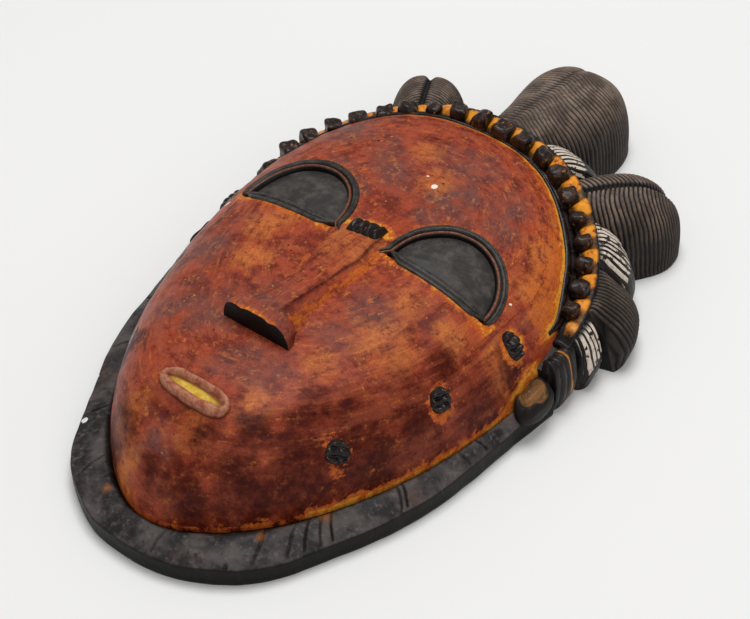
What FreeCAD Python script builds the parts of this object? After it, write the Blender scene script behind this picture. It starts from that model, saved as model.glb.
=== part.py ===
"""Carved wall mask lying on its flat back: one solid for every carved element.

Frame: millimetres, +Z up out of the face, +Y towards the crown of the head, X = 0 on the midline.
The origin is the middle of the outline, on the plane that the back rests on.
Places on the head are given as x and v, where v is the distance above the head's centre.
"""
import FreeCAD, Part
import functools
import math
import os
from FreeCAD import Rotation, Vector

# ---- driving dimensions ------------------------------------------------------------------
CHIN_REACH = 165.0        # head centre to the collar's tip, below the chin
CROWN_REACH = 168.0       # head centre to the tip of the crown bun
HEAD_Y = (CHIN_REACH - CROWN_REACH) / 2

FACE_HALF = 82.0          # half width of the face, through the head centre
FACE_DOWN = 153.0         # head centre to the chin
FACE_UP = 78.0            # head centre to the top of the face, under the hair
FACE_HIGH = 56.0          # height of the forehead above the back
SQUARE_CHEEK = 3.3        # exponents of the cross-section at the cheeks
SQUARE_BROW_LEFT = 3.0    # and across the forehead, which is hand cut and a little uneven
SQUARE_BROW_RIGHT = 4.0
RISE = 2.4
WALL = 13.0               # thickness of the hollowed face

BEAD_HALF_X = 77.8        # half axes of the oval that the bead row follows
BEAD_HALF_V = 69.4
BEAD_V = 5.4              # middle of that oval
BEAD_Z = 28.0             # height of the bead centres beside the middle of the oval
BEAD_LIFT = 16.3          # they climb towards the crown, by this and
BEAD_CURVE = 9.9          # faster near the top, by this
STRIP_IN = (75.6, 63.8)    # half axes of the other ovals, from the hairline outwards
BAND_IN = (78.2, 66.4)
BAND_OUT = (82.4, 74.0)
HAIR_OUT = (85.8, 77.4)
BAND_TILT = -1.5          # degrees about Y: the band sits lower on the right
BAND_TOP = 2.0            # the band's top lies this far below the bead centres
BAND_THICK = 4.0
HAIR_END_V = -8.0         # the hair stops here, level with the ears
BEADS = 20
BEAD_SPAN = 80.5          # degrees from the crown to the last bead on each side

COLLAR_HIGH = 13.0
COLLAR_EDGE_HIGH = 9.0
SKIN = 2.0                # how far a carved line stands out of the face
EYE_SINK = 2.0            # how far an eye lies below the face
EYE_FLOOR = 5.5           # depth of the socket that an eye fills


def at(x, v, z=0.0):
    """A point given on the head, in the part's frame."""
    return Vector(x, HEAD_Y + v, z)


def mirrored(shape):
    return shape.mirror(Vector(0, 0, 0), Vector(1, 0, 0))


def one_solid(shape):
    """The largest solid of a cut, without the crumbs that a cut may leave."""
    solids = sorted(shape.Solids, key=lambda solid: solid.Volume)
    crumbs = sum(solid.Volume for solid in solids[:-1])
    if crumbs > 0.02 * solids[-1].Volume:
        print("  this piece came apart: %.0f mm3 left out" % crumbs)
    return solids[-1]


# ---- the domed face ----------------------------------------------------------------------
def half_width(v, grow=0.0):
    """Half width of the face at v: a long oval chin below, a fuller round head above."""
    if v <= 0:
        t = -v / (FACE_DOWN + grow)
        return (FACE_HALF + grow) * (1 - t ** 1.9) ** 0.58
    s = v / (FACE_UP + grow)
    return (FACE_HALF + grow) * (1 - s ** 2.6) ** (1 / 2.4)


def height(v, grow=0.0):
    """Height of the face on the midline: nearly level, and rounded off at both ends."""
    if v <= 0:
        t = -v / (FACE_DOWN + grow)
        return (FACE_HIGH + grow - 2 * t) * (1 - t ** 9) ** 0.5
    s = v / (FACE_UP + grow)
    return (FACE_HIGH + grow - 3 * s * s) * (1 - s ** 20) ** (1 / 3)


def squareness_at(v, flip=False):
    """How boxy the cross-section is at v, on its left and right half, or flipped over."""
    share = min(1.0, max(0.0, (v + 75.0) / 60.0))
    left = SQUARE_CHEEK + (SQUARE_BROW_LEFT - SQUARE_CHEEK) * share
    right = SQUARE_CHEEK + (SQUARE_BROW_RIGHT - SQUARE_CHEEK) * share
    return (right, left) if flip else (left, right)


def surface(x, v, flip=False):
    """Height of the face at a point of its left half, or of its right half if flipped."""
    ratio = x / half_width(v)
    return height(v) * (1 - ratio ** squareness_at(v, flip)[0]) ** (1 / RISE)


def arch_wire(half, high, low, place, squareness, rise):
    """A rounded arch over a straight base, as a closed wire; place maps (x, z) to a point."""
    turns = [0, 6, 14, 26, 40, 56, 72, 90, 108, 124, 140, 154, 166, 174, 180]
    points = []
    for turn in turns:
        c = math.cos(math.radians(turn))
        power = squareness[0] if c > 0 else squareness[1]
        z = high * max(0.0, 1 - abs(c) ** power) ** (1 / rise)
        points.append(place(half * c, low + z))
    curve = Part.BSplineCurve()
    curve.interpolate(points)
    return Part.Wire([curve.toShape(), Part.makeLine(points[-1], points[0])])


DOWN_STEPS = (0.996, 0.98, 0.94, 0.87, 0.77, 0.64, 0.48, 0.3, 0.14)
UP_STEPS = (0.0, 0.2, 0.4, 0.57, 0.71, 0.83, 0.92, 0.975)


@functools.lru_cache(maxsize=None)
def dome(grow=0.0, low=0.0, flip=False):
    """The face as a solid, grown outwards or inwards, from its base at z = low.

    Carvings of the right side are made on the left of a flipped face, and then mirrored."""
    stations = [-t * (FACE_DOWN + grow) for t in DOWN_STEPS]
    stations += [s * (FACE_UP + grow) for s in UP_STEPS]
    wires = []
    for v in stations:
        wires.append(arch_wire(half_width(v, grow), height(v, grow) - low, low,
                               lambda x, z, v=v: at(x, v, z), squareness_at(v, flip), RISE))
    return Part.makeLoft(wires, True, False)


# ---- plan outlines -----------------------------------------------------------------------
def ellipse_prism(x, v, half_x, half_v, low, high, turn=0.0):
    """An upright elliptic cylinder, turned about Z by some degrees."""
    circle = Part.makeCylinder(1.0, high - low)
    matrix = FreeCAD.Matrix()
    matrix.scale(half_x, half_v, 1.0)
    shape = circle.transformGeometry(matrix)
    shape.rotate(Vector(0, 0, 0), Vector(0, 0, 1), turn)
    shape.translate(at(x, v, low))
    return shape


def block(x0, x1, v0, v1, z0, z1):
    return Part.makeBox(x1 - x0, v1 - v0, z1 - z0, at(x0, v0, z0))


def band_ring(inner, outer, low=0.0, high=80.0):
    """An upright ring between two of the ovals, down to the end of the hair."""
    ring = oval(outer, low, high).cut(oval(inner, low - 1, high + 1))
    return ring.common(block(-130, 130, HAIR_END_V, 130, low - 1, high + 1))


def oval(halves, low=0.0, high=80.0):
    return ellipse_prism(0, BEAD_V, halves[0], halves[1], low, high)


def bead_height(v):
    climb = (v - BEAD_V) / BEAD_HALF_V
    return BEAD_Z + BEAD_LIFT * climb + BEAD_CURVE * climb * climb


def below_band(drop):
    """Everything under the climbing top of the bead band, lowered by drop."""
    v_first, v_last, steps = -30.0, 100.0, 6
    line = []
    for step in range(steps + 1):
        v = v_first + (v_last - v_first) * step / steps
        line.append(Vector(-130, HEAD_Y + v, bead_height(v) - BAND_TOP - drop))
    curve = Part.BSplineCurve()
    curve.interpolate(line)
    low_first = Vector(-130, line[0].y, -5)
    low_last = Vector(-130, line[-1].y, -5)
    wire = Part.Wire([curve.toShape(), Part.makeLine(line[-1], low_last),
                      Part.makeLine(low_last, low_first), Part.makeLine(low_first, line[0])])
    under = Part.Face(wire).extrude(Vector(260, 0, 0))
    under.rotate(Vector(0, 0, 0), Vector(0, 1, 0), BAND_TILT)
    return under


# ---- face details ------------------------------------------------------------------------
EYE_X, EYE_V = 37.0, -17.5     # middle of an eye's straight lower edge
EYE_HALF, EYE_TALL = 22.0, 25.0
BROW_GAP, BROW_WIDE = 0.6, 4.4


def half_moon(half, tall, low=0.0, high=80.0):
    """The upper half of an elliptic cylinder that stands on an eye's lower edge."""
    moon = ellipse_prism(EYE_X, EYE_V, half, tall, low, high)
    return moon.common(block(0, 100, EYE_V, 60, low, high))


def skin(shape, proud, flip=False):
    """The part of an upright shape that lies on the face and stands out of it by proud."""
    return shape.common(dome(proud, 0.0, flip)).cut(dome(0.0, 0.0, flip))


def eye_plate(flip):
    plate = half_moon(EYE_HALF, EYE_TALL).common(dome(-EYE_SINK, 0.0, flip))
    return plate.cut(dome(-EYE_FLOOR, 0.0, flip))


def brow(flip):
    inner = half_moon(EYE_HALF + BROW_GAP, EYE_TALL + BROW_GAP)
    outer = half_moon(EYE_HALF + BROW_GAP + BROW_WIDE, EYE_TALL + BROW_GAP + BROW_WIDE)
    return skin(outer.cut(inner), SKIN, flip)


def eyelid(flip):
    lid = block(EYE_X - EYE_HALF, EYE_X + EYE_HALF + 1, EYE_V - 5.0, EYE_V, 0, 80)
    return skin(lid, SKIN * 0.7, flip)


def bridge_mark():
    """A short bar of three ridges between the brows."""
    bar = skin(block(-8, 8, -16.0, -11.0, 0, 80), 1.0)
    for x in (-5.4, 0.0, 5.4):
        ridge = block(x - 2.0, x + 2.0, -16.6, -10.4, 0, 80)
        bar = bar.fuse(skin(ridge, 3.2))
    return bar


def nose():
    """A straight ridge from between the eyes that widens and rises to a flat-ended tip."""
    base = 50.0
    stations = ((-18.0, 14.0, 56.8), (-30.0, 13.2, 57.8), (-44.0, 11.0, 59.2), (-58.0, 9.0, 61.0),
                (-70.0, 8.5, 63.0), (-77.0, 12.5, 64.2), (-84.5, 16.0, 64.4))
    wires = []
    for v, half, top in stations:
        wires.append(arch_wire(half, top - base, base, lambda x, z, v=v: at(x, v, z),
                               (1.6, 1.6), 1.3))
    return Part.makeLoft(wires, True, False).cut(dome())


LIP_V = -120.0
LIP_HALF, LIP_THICK = 16.0, 5.4
SLOT_HALF, SLOT_THICK = 13.4, 3.2


def lips():
    outer = ellipse_prism(0, LIP_V, LIP_HALF, LIP_THICK, 0, 80)
    slot = ellipse_prism(0, LIP_V, SLOT_HALF, SLOT_THICK, 0, 80)
    return skin(outer.cut(slot), 4.5)


def mouth_inlay():
    return skin(ellipse_prism(0, LIP_V, SLOT_HALF, SLOT_THICK, 0, 80), 2.0)


def on_surface(x, v, flip):
    """A placement on the face: its Z is the outward normal and its Y runs up the head."""
    step = 0.5
    slope_x = (surface(x + step, v, flip) - surface(x - step, v, flip)) / (2 * step)
    slope_v = (surface(x, v + step, flip) - surface(x, v - step, flip)) / (2 * step)
    normal = Vector(-slope_x, -slope_v, 1).normalize()
    turn = Rotation(Vector(1, 0, 0), Vector(0, 1, 0), normal, "ZYX")
    return FreeCAD.Placement(at(x, v, surface(x, v, flip)), turn)


def ridged_mark(x, v, down, along, rows, turn, flip):
    """A raised patch with ridges side by side down the slope, turned on the face by some degrees."""
    proud, sunk = 0.7, 4.0
    ridge_proud = 1.2 if flip else 2.2
    patch = Part.makeBox(down, along, proud + sunk, Vector(-down / 2, -along / 2, -sunk))
    pitch = down / rows
    for row in range(rows):
        left = row * pitch - down / 2 + pitch * 0.15
        ridge = Part.makeBox(pitch * 0.7, along * 0.9, ridge_proud + sunk,
                             Vector(left, -along * 0.45, -sunk))
        patch = patch.fuse(ridge)
    patch.rotate(Vector(0, 0, 0), Vector(0, 0, 1), turn)
    patch.Placement = on_surface(x, v, flip).multiply(patch.Placement)
    return patch.cut(dome(0.0, 0.0, flip))


# ---- collar, ears and hair ---------------------------------------------------------------
# the rim's outline on each side, the right one as if it were on the left; the right is fuller
COLLAR_LEFT = ((34, -155.5), (49.2, -142.7), (62.6, -119), (75, -92), (82.6, -56), (86, -27), (89.2, 0))
COLLAR_RIGHT = ((33, -155), (47.7, -142), (60.8, -118), (74, -91), (83, -55), (88, -27), (91.5, 0))


def collar_wire(inset, z):
    """The collar's outline at height z, drawn in by some millimetres."""
    outline = [(0, -CHIN_REACH), (17, -163)] + list(COLLAR_LEFT) + [(60, 30)]
    outline += [(-60, 30)] + [(-x, v) for x, v in reversed(COLLAR_RIGHT)] + [(-17, -163)]
    middle_v = -60.0
    points = []
    for x, v in outline:
        shrink = 1 - inset / math.hypot(x, v - middle_v)
        points.append(at(x * shrink, middle_v + (v - middle_v) * shrink, z))
    curve = Part.BSplineCurve()
    curve.interpolate(points, PeriodicFlag=True)
    return Part.Wire([curve.toShape()])


def collar():
    """The low rim around the chin and cheeks, with a sloping top, up to where the hair starts."""
    foot = collar_wire(0.0, 0.0)
    edge = collar_wire(0.5, COLLAR_EDGE_HIGH)
    crest = collar_wire(9.0, COLLAR_HIGH)
    rim = Part.makeLoft([foot, edge, crest], True, True)
    rim = rim.common(block(-100, 100, -CHIN_REACH - 5, HAIR_END_V, -1, 30))
    return rim.cut(dome())


def ear(flip):
    """A small worn ear at the end of the hair, on top of the collar; the right one is lower."""
    top = 15.0 if flip else 21.0
    lobe = ellipse_prism(84.5, -18.0, 5.0, 9.6, COLLAR_EDGE_HIGH - 2, top, 4)
    rim = mirrored(collar()) if flip else collar()
    return lobe.cut(dome(0.0, 0.0, flip)).cut(rim)


def ring_segment(start, end, reach, top):
    """A roll of hair outside the band, between two angles in degrees from the crown."""
    inner = 70.0
    crest = HAIR_OUT[0]
    profile = Part.BSplineCurve()
    profile.interpolate([at(0, inner, top), at(0, crest + 0.35 * (reach - crest), top * 0.97),
                         at(0, reach, top * 0.42), at(0, reach - 3.0, 0)])
    corner = at(0, inner, 0)
    wire = Part.Wire([profile.toShape(), Part.makeLine(at(0, reach - 3.0, 0), corner),
                      Part.makeLine(corner, at(0, inner, top))])
    face = Part.Face(wire)
    face.rotate(at(0, 0), Vector(0, 0, 1), -start)
    return face.revolve(at(0, 0), Vector(0, 0, 1), -(end - start))


def bun(stations, turn):
    """A fat tongue of hair that points away from the head; stations are (reach, half, top)."""
    wires = []
    for reach, half, top in stations:
        wires.append(arch_wire(half, top, 0.0, lambda x, z, v=reach: at(x, v, z),
                               (2.8, 2.8), 2.3))
    shape = Part.makeLoft(wires, True, False)
    tip = stations[-1][0]
    parting = Part.makePolygon([at(-2.2, 60, 60), at(2.2, 60, 60), at(0, 60, 34), at(-2.2, 60, 60)])
    shape = shape.cut(Part.Face(parting).extrude(Vector(0, tip - 60 + 5, 0)))
    shape.rotate(at(0, 0), Vector(0, 0, 1), -turn)
    return shape


CROWN_BUN = ((70, 17, 46), (90, 19, 46), (112, 23, 44), (135, 27, 42), (150, 25.5, 38),
             (160, 20, 31), (166, 12, 22), (CROWN_REACH, 6, 13))
CROWN_TURN = 0.4
LEFT_BUN = ((70, 16.5, 43), (88, 18.5, 41), (104, 20.5, 39), (120, 20.5, 34), (130.5, 14.5, 25),
            (136.5, 7, 13))
RIGHT_BUN = ((70, 15, 46), (88, 16.5, 45), (103, 18, 43), (118, 18, 38), (128, 13, 27), (134, 6, 13))
# on each side: the upper bun, its turn from the crown, and how high the low hair and lock stand
SIDES = {"left": (LEFT_BUN, 31.5, 1.0, 1.0), "right": (RIGHT_BUN, 27.5, 0.6, 0.85)}


def hair_side(stations, turn, rise, lock_rise, crown, inside):
    """The hair outside the band on one side, built on the left of the head."""
    upper = bun(stations, turn).cut(inside).cut(crown)
    wrap_a = ring_segment(8.0, turn - 8.0, 113.0, 42.0).cut(inside).cut(crown).cut(upper)
    wrap_b = ring_segment(turn + 8.0, 57.0, 104.0, 35.0 * rise).cut(inside).cut(upper)
    lower = ring_segment(57.0, 74.0, 105.0, 31.0 * rise).cut(inside).cut(upper)
    wrap_c = ring_segment(74.0, 84.0, 94.5, 28.0 * rise).cut(inside)
    lock = ring_segment(84.0, 97.5, 90.5, 25.0 * lock_rise).cut(inside)
    lock = lock.common(block(0, 130, HAIR_END_V, 60, -1, 60))
    return {"bun_upper": upper, "bun_lower": lower, "striped_wrap_a": wrap_a,
            "striped_wrap_b": wrap_b, "striped_wrap_c": wrap_c, "side_lock": lock}


def face_side(flip):
    """The carvings beside the midline, on the left of the face or of the flipped face."""
    return {
        "eye_plate": eye_plate(flip),
        "eyelid": eyelid(flip),
        "brow": brow(flip),
        "temple_mark": ridged_mark(71.5, -15.0, 14.0, 8.0, 4, 0.0, flip),
        "cheek_mark": ridged_mark(65.8, -56.0, 11.0, 10.0, 3, 20.0, flip),
        "jaw_mark": ridged_mark(51.0, -100.0, 10.0, 11.0, 3, 42.0, flip),
        "ear": ear(flip),
    }


def bead(number):
    """One knob of the bead row, standing on the band."""
    angle = -BEAD_SPAN + number * 2 * BEAD_SPAN / (BEADS - 1)
    turn = math.radians(angle)
    knob = Part.makeBox(7.2, 7.6, 8.0, Vector(-3.6, -3.8, -5.0))
    knob = knob.makeFillet(2.2, [e for e in knob.Edges if e.CenterOfMass.z > -1])
    knob.rotate(Vector(0, 0, 0), Vector(0, 0, 1), -angle)
    v = BEAD_V + BEAD_HALF_V * math.cos(turn)
    x = BEAD_HALF_X * math.sin(turn)
    knob.translate(at(x, v, bead_height(v) - x * math.tan(math.radians(BAND_TILT))))
    return knob.cut(below_band(0.0)).cut(dome())


# ---- assembly ----------------------------------------------------------------------------
def build():
    face = dome()
    socket = half_moon(EYE_HALF, EYE_TALL)
    sockets = socket.fuse(mirrored(socket)).cut(dome(-EYE_FLOOR))
    inside = oval(HAIR_OUT, -2, 80)
    crown = bun(CROWN_BUN, CROWN_TURN).cut(inside)
    band = band_ring(BAND_IN, BAND_OUT).common(below_band(0.0)).cut(below_band(BAND_THICK))
    parts = {
        "face_shell": face.cut(dome(-WALL, -1.0)).cut(sockets),
        "nose": nose(),
        "lips": lips(),
        "mouth_inlay": mouth_inlay(),
        "bridge_mark": bridge_mark(),
        "collar": collar(),
        "hair_cap": band_ring(BAND_IN, HAIR_OUT).common(below_band(BAND_THICK)).cut(face),
        "headband": band.cut(face),
        "hairline_strip": skin(band_ring(STRIP_IN, BAND_IN), 1.5),
        "bun_crown": crown,
    }
    for side, hair in SIDES.items():
        flip = side == "right"
        # the right side is built on the left and mirrored, so it is cut by the mirrored crown
        beside = mirrored(crown) if flip else crown
        for name, shape in {**face_side(flip), **hair_side(*hair, beside, inside)}.items():
            parts["%s_%s" % (name, side)] = mirrored(shape) if flip else shape
    for number in range(BEADS):
        parts["bead_%02d" % (number + 1)] = bead(number)
    return parts


os.makedirs("parts", exist_ok=True)
for node, shape in build().items():
    solid = one_solid(shape)
    solid.exportStep("parts/%s.step" % node)
    print("%-22s volume %9.0f mm3  valid %s" % (node, solid.Volume, solid.isValid()))
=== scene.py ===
"""Looks of the carved wall mask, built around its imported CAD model.

Shapes are worked out in millimetres in the part's own frame (+Z out of the face, +Y to the crown)
and turned into metres when a piece is made. Places on the head are given as x and v, where v is
the distance above the head's centre.
"""
import math
import bpy
import numpy as np
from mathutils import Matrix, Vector


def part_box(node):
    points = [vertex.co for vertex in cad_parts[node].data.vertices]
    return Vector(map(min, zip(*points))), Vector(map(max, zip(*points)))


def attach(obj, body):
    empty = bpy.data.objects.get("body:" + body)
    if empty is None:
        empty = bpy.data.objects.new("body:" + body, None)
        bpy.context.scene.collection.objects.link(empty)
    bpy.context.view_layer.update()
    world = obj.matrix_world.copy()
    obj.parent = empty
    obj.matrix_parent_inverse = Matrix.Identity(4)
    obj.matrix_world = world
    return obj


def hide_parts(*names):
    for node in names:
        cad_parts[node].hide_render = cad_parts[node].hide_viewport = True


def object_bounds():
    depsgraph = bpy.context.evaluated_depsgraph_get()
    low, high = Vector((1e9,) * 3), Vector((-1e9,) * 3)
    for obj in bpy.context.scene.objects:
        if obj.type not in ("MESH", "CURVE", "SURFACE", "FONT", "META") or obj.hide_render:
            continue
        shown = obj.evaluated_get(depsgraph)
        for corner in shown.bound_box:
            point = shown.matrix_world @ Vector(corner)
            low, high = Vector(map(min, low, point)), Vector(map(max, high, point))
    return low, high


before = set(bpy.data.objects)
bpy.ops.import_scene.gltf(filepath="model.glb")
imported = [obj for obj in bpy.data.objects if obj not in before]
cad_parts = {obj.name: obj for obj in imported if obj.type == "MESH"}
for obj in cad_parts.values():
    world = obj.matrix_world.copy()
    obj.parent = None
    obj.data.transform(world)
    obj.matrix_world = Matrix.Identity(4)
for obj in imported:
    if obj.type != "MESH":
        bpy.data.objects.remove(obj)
CAD_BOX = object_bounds()

MM = 0.001
HEAD_Y = -1.5
LEFT, RIGHT = 1, -1

# ---- the head's driving dimensions, the same as the CAD model's --------------------------
FACE_HALF, FACE_DOWN, FACE_UP, FACE_HIGH = 82.0, 153.0, 78.0, 56.0
WALL = 13.0
SQUARE_CHEEK, SQUARE_BROW_LEFT, SQUARE_BROW_RIGHT = 3.3, 3.0, 4.0
RISE = 2.4
BEAD_HALF_X, BEAD_HALF_V, BEAD_V = 77.8, 69.4, 5.4
BEAD_Z, BEAD_LIFT, BEAD_CURVE = 28.0, 16.3, 9.9
BEADS, BEAD_SPAN = 20, 80.5
BAND_SPAN = 91.0               # how far round from the crown the orange band shows, in degrees
STRIP_IN, BAND_IN = (75.6, 63.8), (78.2, 66.4)
BAND_OUT = (82.4, 74.0)
HAIR_CREST = 85.8              # how far out the rolls are highest
BAND_TILT = math.tan(math.radians(-1.5))
BAND_TOP, BAND_THICK = 2.0, 4.0
HAIR_END_V = -8.0
EYE_X, EYE_V, EYE_HALF, EYE_TALL = 37.0, -17.5, 22.0, 25.0
EYE_SINK, EYE_FLOOR = 2.0, 5.5
LIP_V, LIP_HALF, LIP_THICK, SLOT_HALF, SLOT_THICK = -120.0, 16.0, 5.4, 13.4, 3.2
CHIN_REACH, CROWN_REACH = 165.0, 168.0
COLLAR_HIGH, COLLAR_EDGE_HIGH = 13.0, 9.0
STRIPE_PITCH = 3.1             # of the cream stripes on the rolls
MARKS = {                      # x, v, size down the slope, size along the head, ridges, turn
    "temple_mark": (71.5, -15.0, 14.0, 8.0, 4, 0.0),
    "cheek_mark": (65.8, -56.0, 11.0, 10.0, 3, 20.0),
    "jaw_mark": (51.0, -100.0, 10.0, 11.0, 3, 42.0),
}


# ---- numbers and noise -------------------------------------------------------------------
def smooth(value, low, high):
    """0 below low, 1 above high and a soft step between; low may be the larger."""
    t = np.clip((value - low) / (high - low), 0.0, 1.0)
    return t * t * (3 - 2 * t)


def lumps(points, size, seed):
    """Smooth random numbers from -1 to 1 at points in millimetres, about size wide."""
    cell = np.asarray(points, float) / size + 37.0 * seed
    low = np.floor(cell).astype(np.int64)
    part = cell - low
    part = part * part * (3 - 2 * part)
    total = np.zeros(low.shape[:-1])
    for corner in range(8):
        step = np.array([corner & 1, corner >> 1 & 1, corner >> 2 & 1])
        key = ((low + step) * (73856093, 19349663, 83492791)).sum(-1) & 0x7FFFFFFF
        key = (key ^ (key >> 13)) * 1274126177 & 0x7FFFFFFF
        key = (key ^ (key >> 16)) & 0xFFFF
        share = np.where(step == 1, part, 1 - part).prod(-1)
        total += share * (key / 32767.5 - 1)
    return total


def layered(points, *layers):
    """Lumps of several sizes together; each layer is an amount, a size and a seed."""
    return sum(amount * lumps(points, size, seed) for amount, size, seed in layers)


def through(stations, count):
    """A smooth curve through the stations, as count rows spread evenly along its length."""
    rows = np.asarray(stations, float)
    ends = np.vstack([2 * rows[0] - rows[1], rows, 2 * rows[-1] - rows[-2]])
    pieces = []
    for i in range(len(rows) - 1):
        a, b, c, d = ends[i:i + 4]
        t = np.linspace(0, 1, 60, endpoint=False)[:, None]
        pieces.append(0.5 * (2 * b + (c - a) * t + (2 * a - 5 * b + 4 * c - d) * t ** 2
                             + (3 * b - a - 3 * c + d) * t ** 3))
    return evenly(np.vstack(pieces + [rows[-1:]]), count)


def evenly(line, count):
    """count points spread evenly along a line of points."""
    steps = np.linalg.norm(np.diff(line, axis=0), axis=1)
    travelled = np.concatenate([[0], np.cumsum(steps)])
    places = np.linspace(0, travelled[-1], count)
    return np.stack([np.interp(places, travelled, line[:, k]) for k in range(line.shape[1])], 1)


def normals_of(grid):
    """Unit normals of a grid of points, by differences along its rows and columns."""
    down = np.gradient(grid, axis=0)
    across = np.gradient(grid, axis=1)
    normal = np.cross(down, across)
    return normal / np.maximum(np.linalg.norm(normal, axis=-1, keepdims=True), 1e-9)


def outward_normals(grid, core):
    """Unit normals of a grid of points, turned away from a point inside it."""
    normal = normals_of(grid)
    return normal * np.where((normal * (grid - core)).sum(-1, keepdims=True) > 0, 1, -1)


# ---- the domed face ----------------------------------------------------------------------
def half_width(v, grow=0.0):
    """Half the face's width at v; grow moves its whole skin outwards."""
    v = np.asarray(v, float)
    down = np.clip(-v / (FACE_DOWN + grow), 0, 1)
    up = np.clip(v / (FACE_UP + grow), 0, 1)
    share = np.where(v <= 0, (1 - down ** 1.9) ** 0.58, (1 - up ** 2.6) ** (1 / 2.4))
    return (FACE_HALF + grow) * share


def height(v, grow=0.0):
    """Height of the face's midline at v."""
    v = np.asarray(v, float)
    down = np.clip(-v / (FACE_DOWN + grow), 0, 1)
    up = np.clip(v / (FACE_UP + grow), 0, 1)
    high = FACE_HIGH + grow
    return np.where(v <= 0, (high - 2 * down) * (1 - down ** 9) ** 0.5,
                    (high - 3 * up * up) * (1 - up ** 20) ** (1 / 3))


def squareness(x, v):
    """How boxy the face's cross-section is at v, on the side that x is on."""
    share = np.clip((v + 75.0) / 60.0, 0, 1)
    brow = np.where(x > 0, SQUARE_BROW_LEFT, SQUARE_BROW_RIGHT)
    return SQUARE_CHEEK + (brow - SQUARE_CHEEK) * share


def surface(x, v, grow=0.0):
    """Height of the face above the back at x and v."""
    ratio = np.clip(np.abs(x) / np.maximum(half_width(v, grow), 1e-6), 0, 1)
    return height(v, grow) * (1 - ratio ** squareness(x, v)) ** (1 / RISE)


def section(v, columns, grow):
    """Points spread evenly over the face's cross-section at v, from its right foot to its left."""
    x = half_width(v, grow) * np.cos(np.linspace(math.pi, 0, 1600))
    places = np.full_like(x, v)
    return evenly(np.stack([x, places, surface(x, places, grow)], 1), columns)


def stations_of(rows, grow):
    """Values of v spread evenly over the length of the face's midline, without its two ends."""
    turn = np.linspace(0, math.pi, 3000)
    middle = (FACE_UP - FACE_DOWN) / 2
    v = middle - ((FACE_UP + FACE_DOWN) / 2 + grow) * np.cos(turn)
    line = evenly(np.stack([v, height(v, grow)], 1), rows + 2)
    return line[1:-1, 0]


def on_face(arc, v, side):
    """Points on the face: v up the head, and arc millimetres out from the midline on one side."""
    grid = np.zeros(arc.shape + (3,))
    for i in range(arc.shape[0]):
        x = half_width(v[i, 0]) * np.sin(np.linspace(0, math.pi / 2, 900))
        z = surface(side * x, np.full_like(x, v[i, 0]))
        travelled = np.concatenate([[0], np.cumsum(np.hypot(np.diff(x), np.diff(z)))])
        grid[i, :, 0] = side * np.interp(arc[i], travelled, x)
        grid[i, :, 1] = v[i]
        grid[i, :, 2] = np.interp(arc[i], travelled, z)
    return grid


def arc_to(x, v, side):
    """Distance over the face from the midline out to x."""
    line = np.linspace(0, abs(x), 400)
    z = surface(side * line, np.full_like(line, v))
    return float(np.hypot(np.diff(line), np.diff(z)).sum())


def oval_reach(angle, halves):
    """Distance from the head's centre to one of the ovals, at an angle from the crown."""
    a, b = halves
    s, c = np.sin(angle) / a, np.cos(angle) / b
    m, total = BEAD_V / b, s * s + c * c
    return (c * m + np.sqrt(np.maximum((c * m) ** 2 - total * (m * m - 1), 0))) / total


def oval_offset(x, v, halves):
    """How far a point lies outside one of the ovals, in millimetres, near enough."""
    reach = np.hypot(x / halves[0], (v - BEAD_V) / halves[1])
    return (reach - 1) * (halves[0] + halves[1]) / 2


def bead_height(x, v):
    """Height of the line through the beads' middles, which rises to the crown."""
    climb = (v - BEAD_V) / BEAD_HALF_V
    return BEAD_Z + BEAD_LIFT * climb + BEAD_CURVE * climb * climb - x * BAND_TILT


# ---- mesh making -------------------------------------------------------------------------
def enclosed(points, faces):
    """The volume inside a closed skin, negative where its faces look inwards."""
    total = 0.0
    for corners in (3, 4):
        group = [face for face in faces if len(face) == corners]
        if group:
            group = np.array(group)
            for k in range(1, corners - 1):
                a, b, c = points[group[:, 0]], points[group[:, k]], points[group[:, k + 1]]
                total += (a * np.cross(b, c)).sum() / 6
    return total


def piece(name, skin, paint, node, masks=None, second=None, paint_of=None):
    """A closed mesh in place of a CAD node; skin is its points (x, v, z) and its faces.

    Each mask holds a number for every point. Faces that paint_of marks get the second paint.
    """
    points, faces = skin
    points = np.asarray(points, float) + (0, HEAD_Y, 0)
    if enclosed(points, faces) < 0:
        faces = [face[::-1] for face in faces]
    mesh = bpy.data.meshes.new(name)
    mesh.from_pydata((points * MM).tolist(), [], [list(face) for face in faces])
    for key, values in (masks or {}).items():
        layer = mesh.attributes.new(key, "FLOAT", "POINT")
        layer.data.foreach_set("value", np.ascontiguousarray(values, np.float32).ravel())
    mesh.materials.append(PAINTS[paint])
    if second:
        mesh.materials.append(PAINTS[second])
        mesh.polygons.foreach_set("material_index", np.asarray(paint_of, np.int32))
    mesh.polygons.foreach_set("use_smooth", np.ones(len(mesh.polygons), bool))
    mesh.update()
    mesh.validate()
    made = bpy.data.objects.new(name, mesh)
    bpy.context.scene.collection.objects.link(made)
    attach(made, "root")
    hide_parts(node)


def ring_faces(rows, around, start=0):
    """Quads between closed rings of around points each."""
    i = np.arange(rows - 1)[:, None] * around + start
    j = np.arange(around)[None, :]
    k = (j + 1) % around
    return np.stack([i + j, i + k, i + around + k, i + around + j], -1).reshape(-1, 4)


def sheet_faces(rows, columns, start=0):
    """Quads of an open grid."""
    i = np.arange(rows - 1)[:, None] * columns + start
    j = np.arange(columns - 1)[None, :]
    return np.stack([i + j, i + j + 1, i + columns + j + 1, i + columns + j], -1).reshape(-1, 4)


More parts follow.
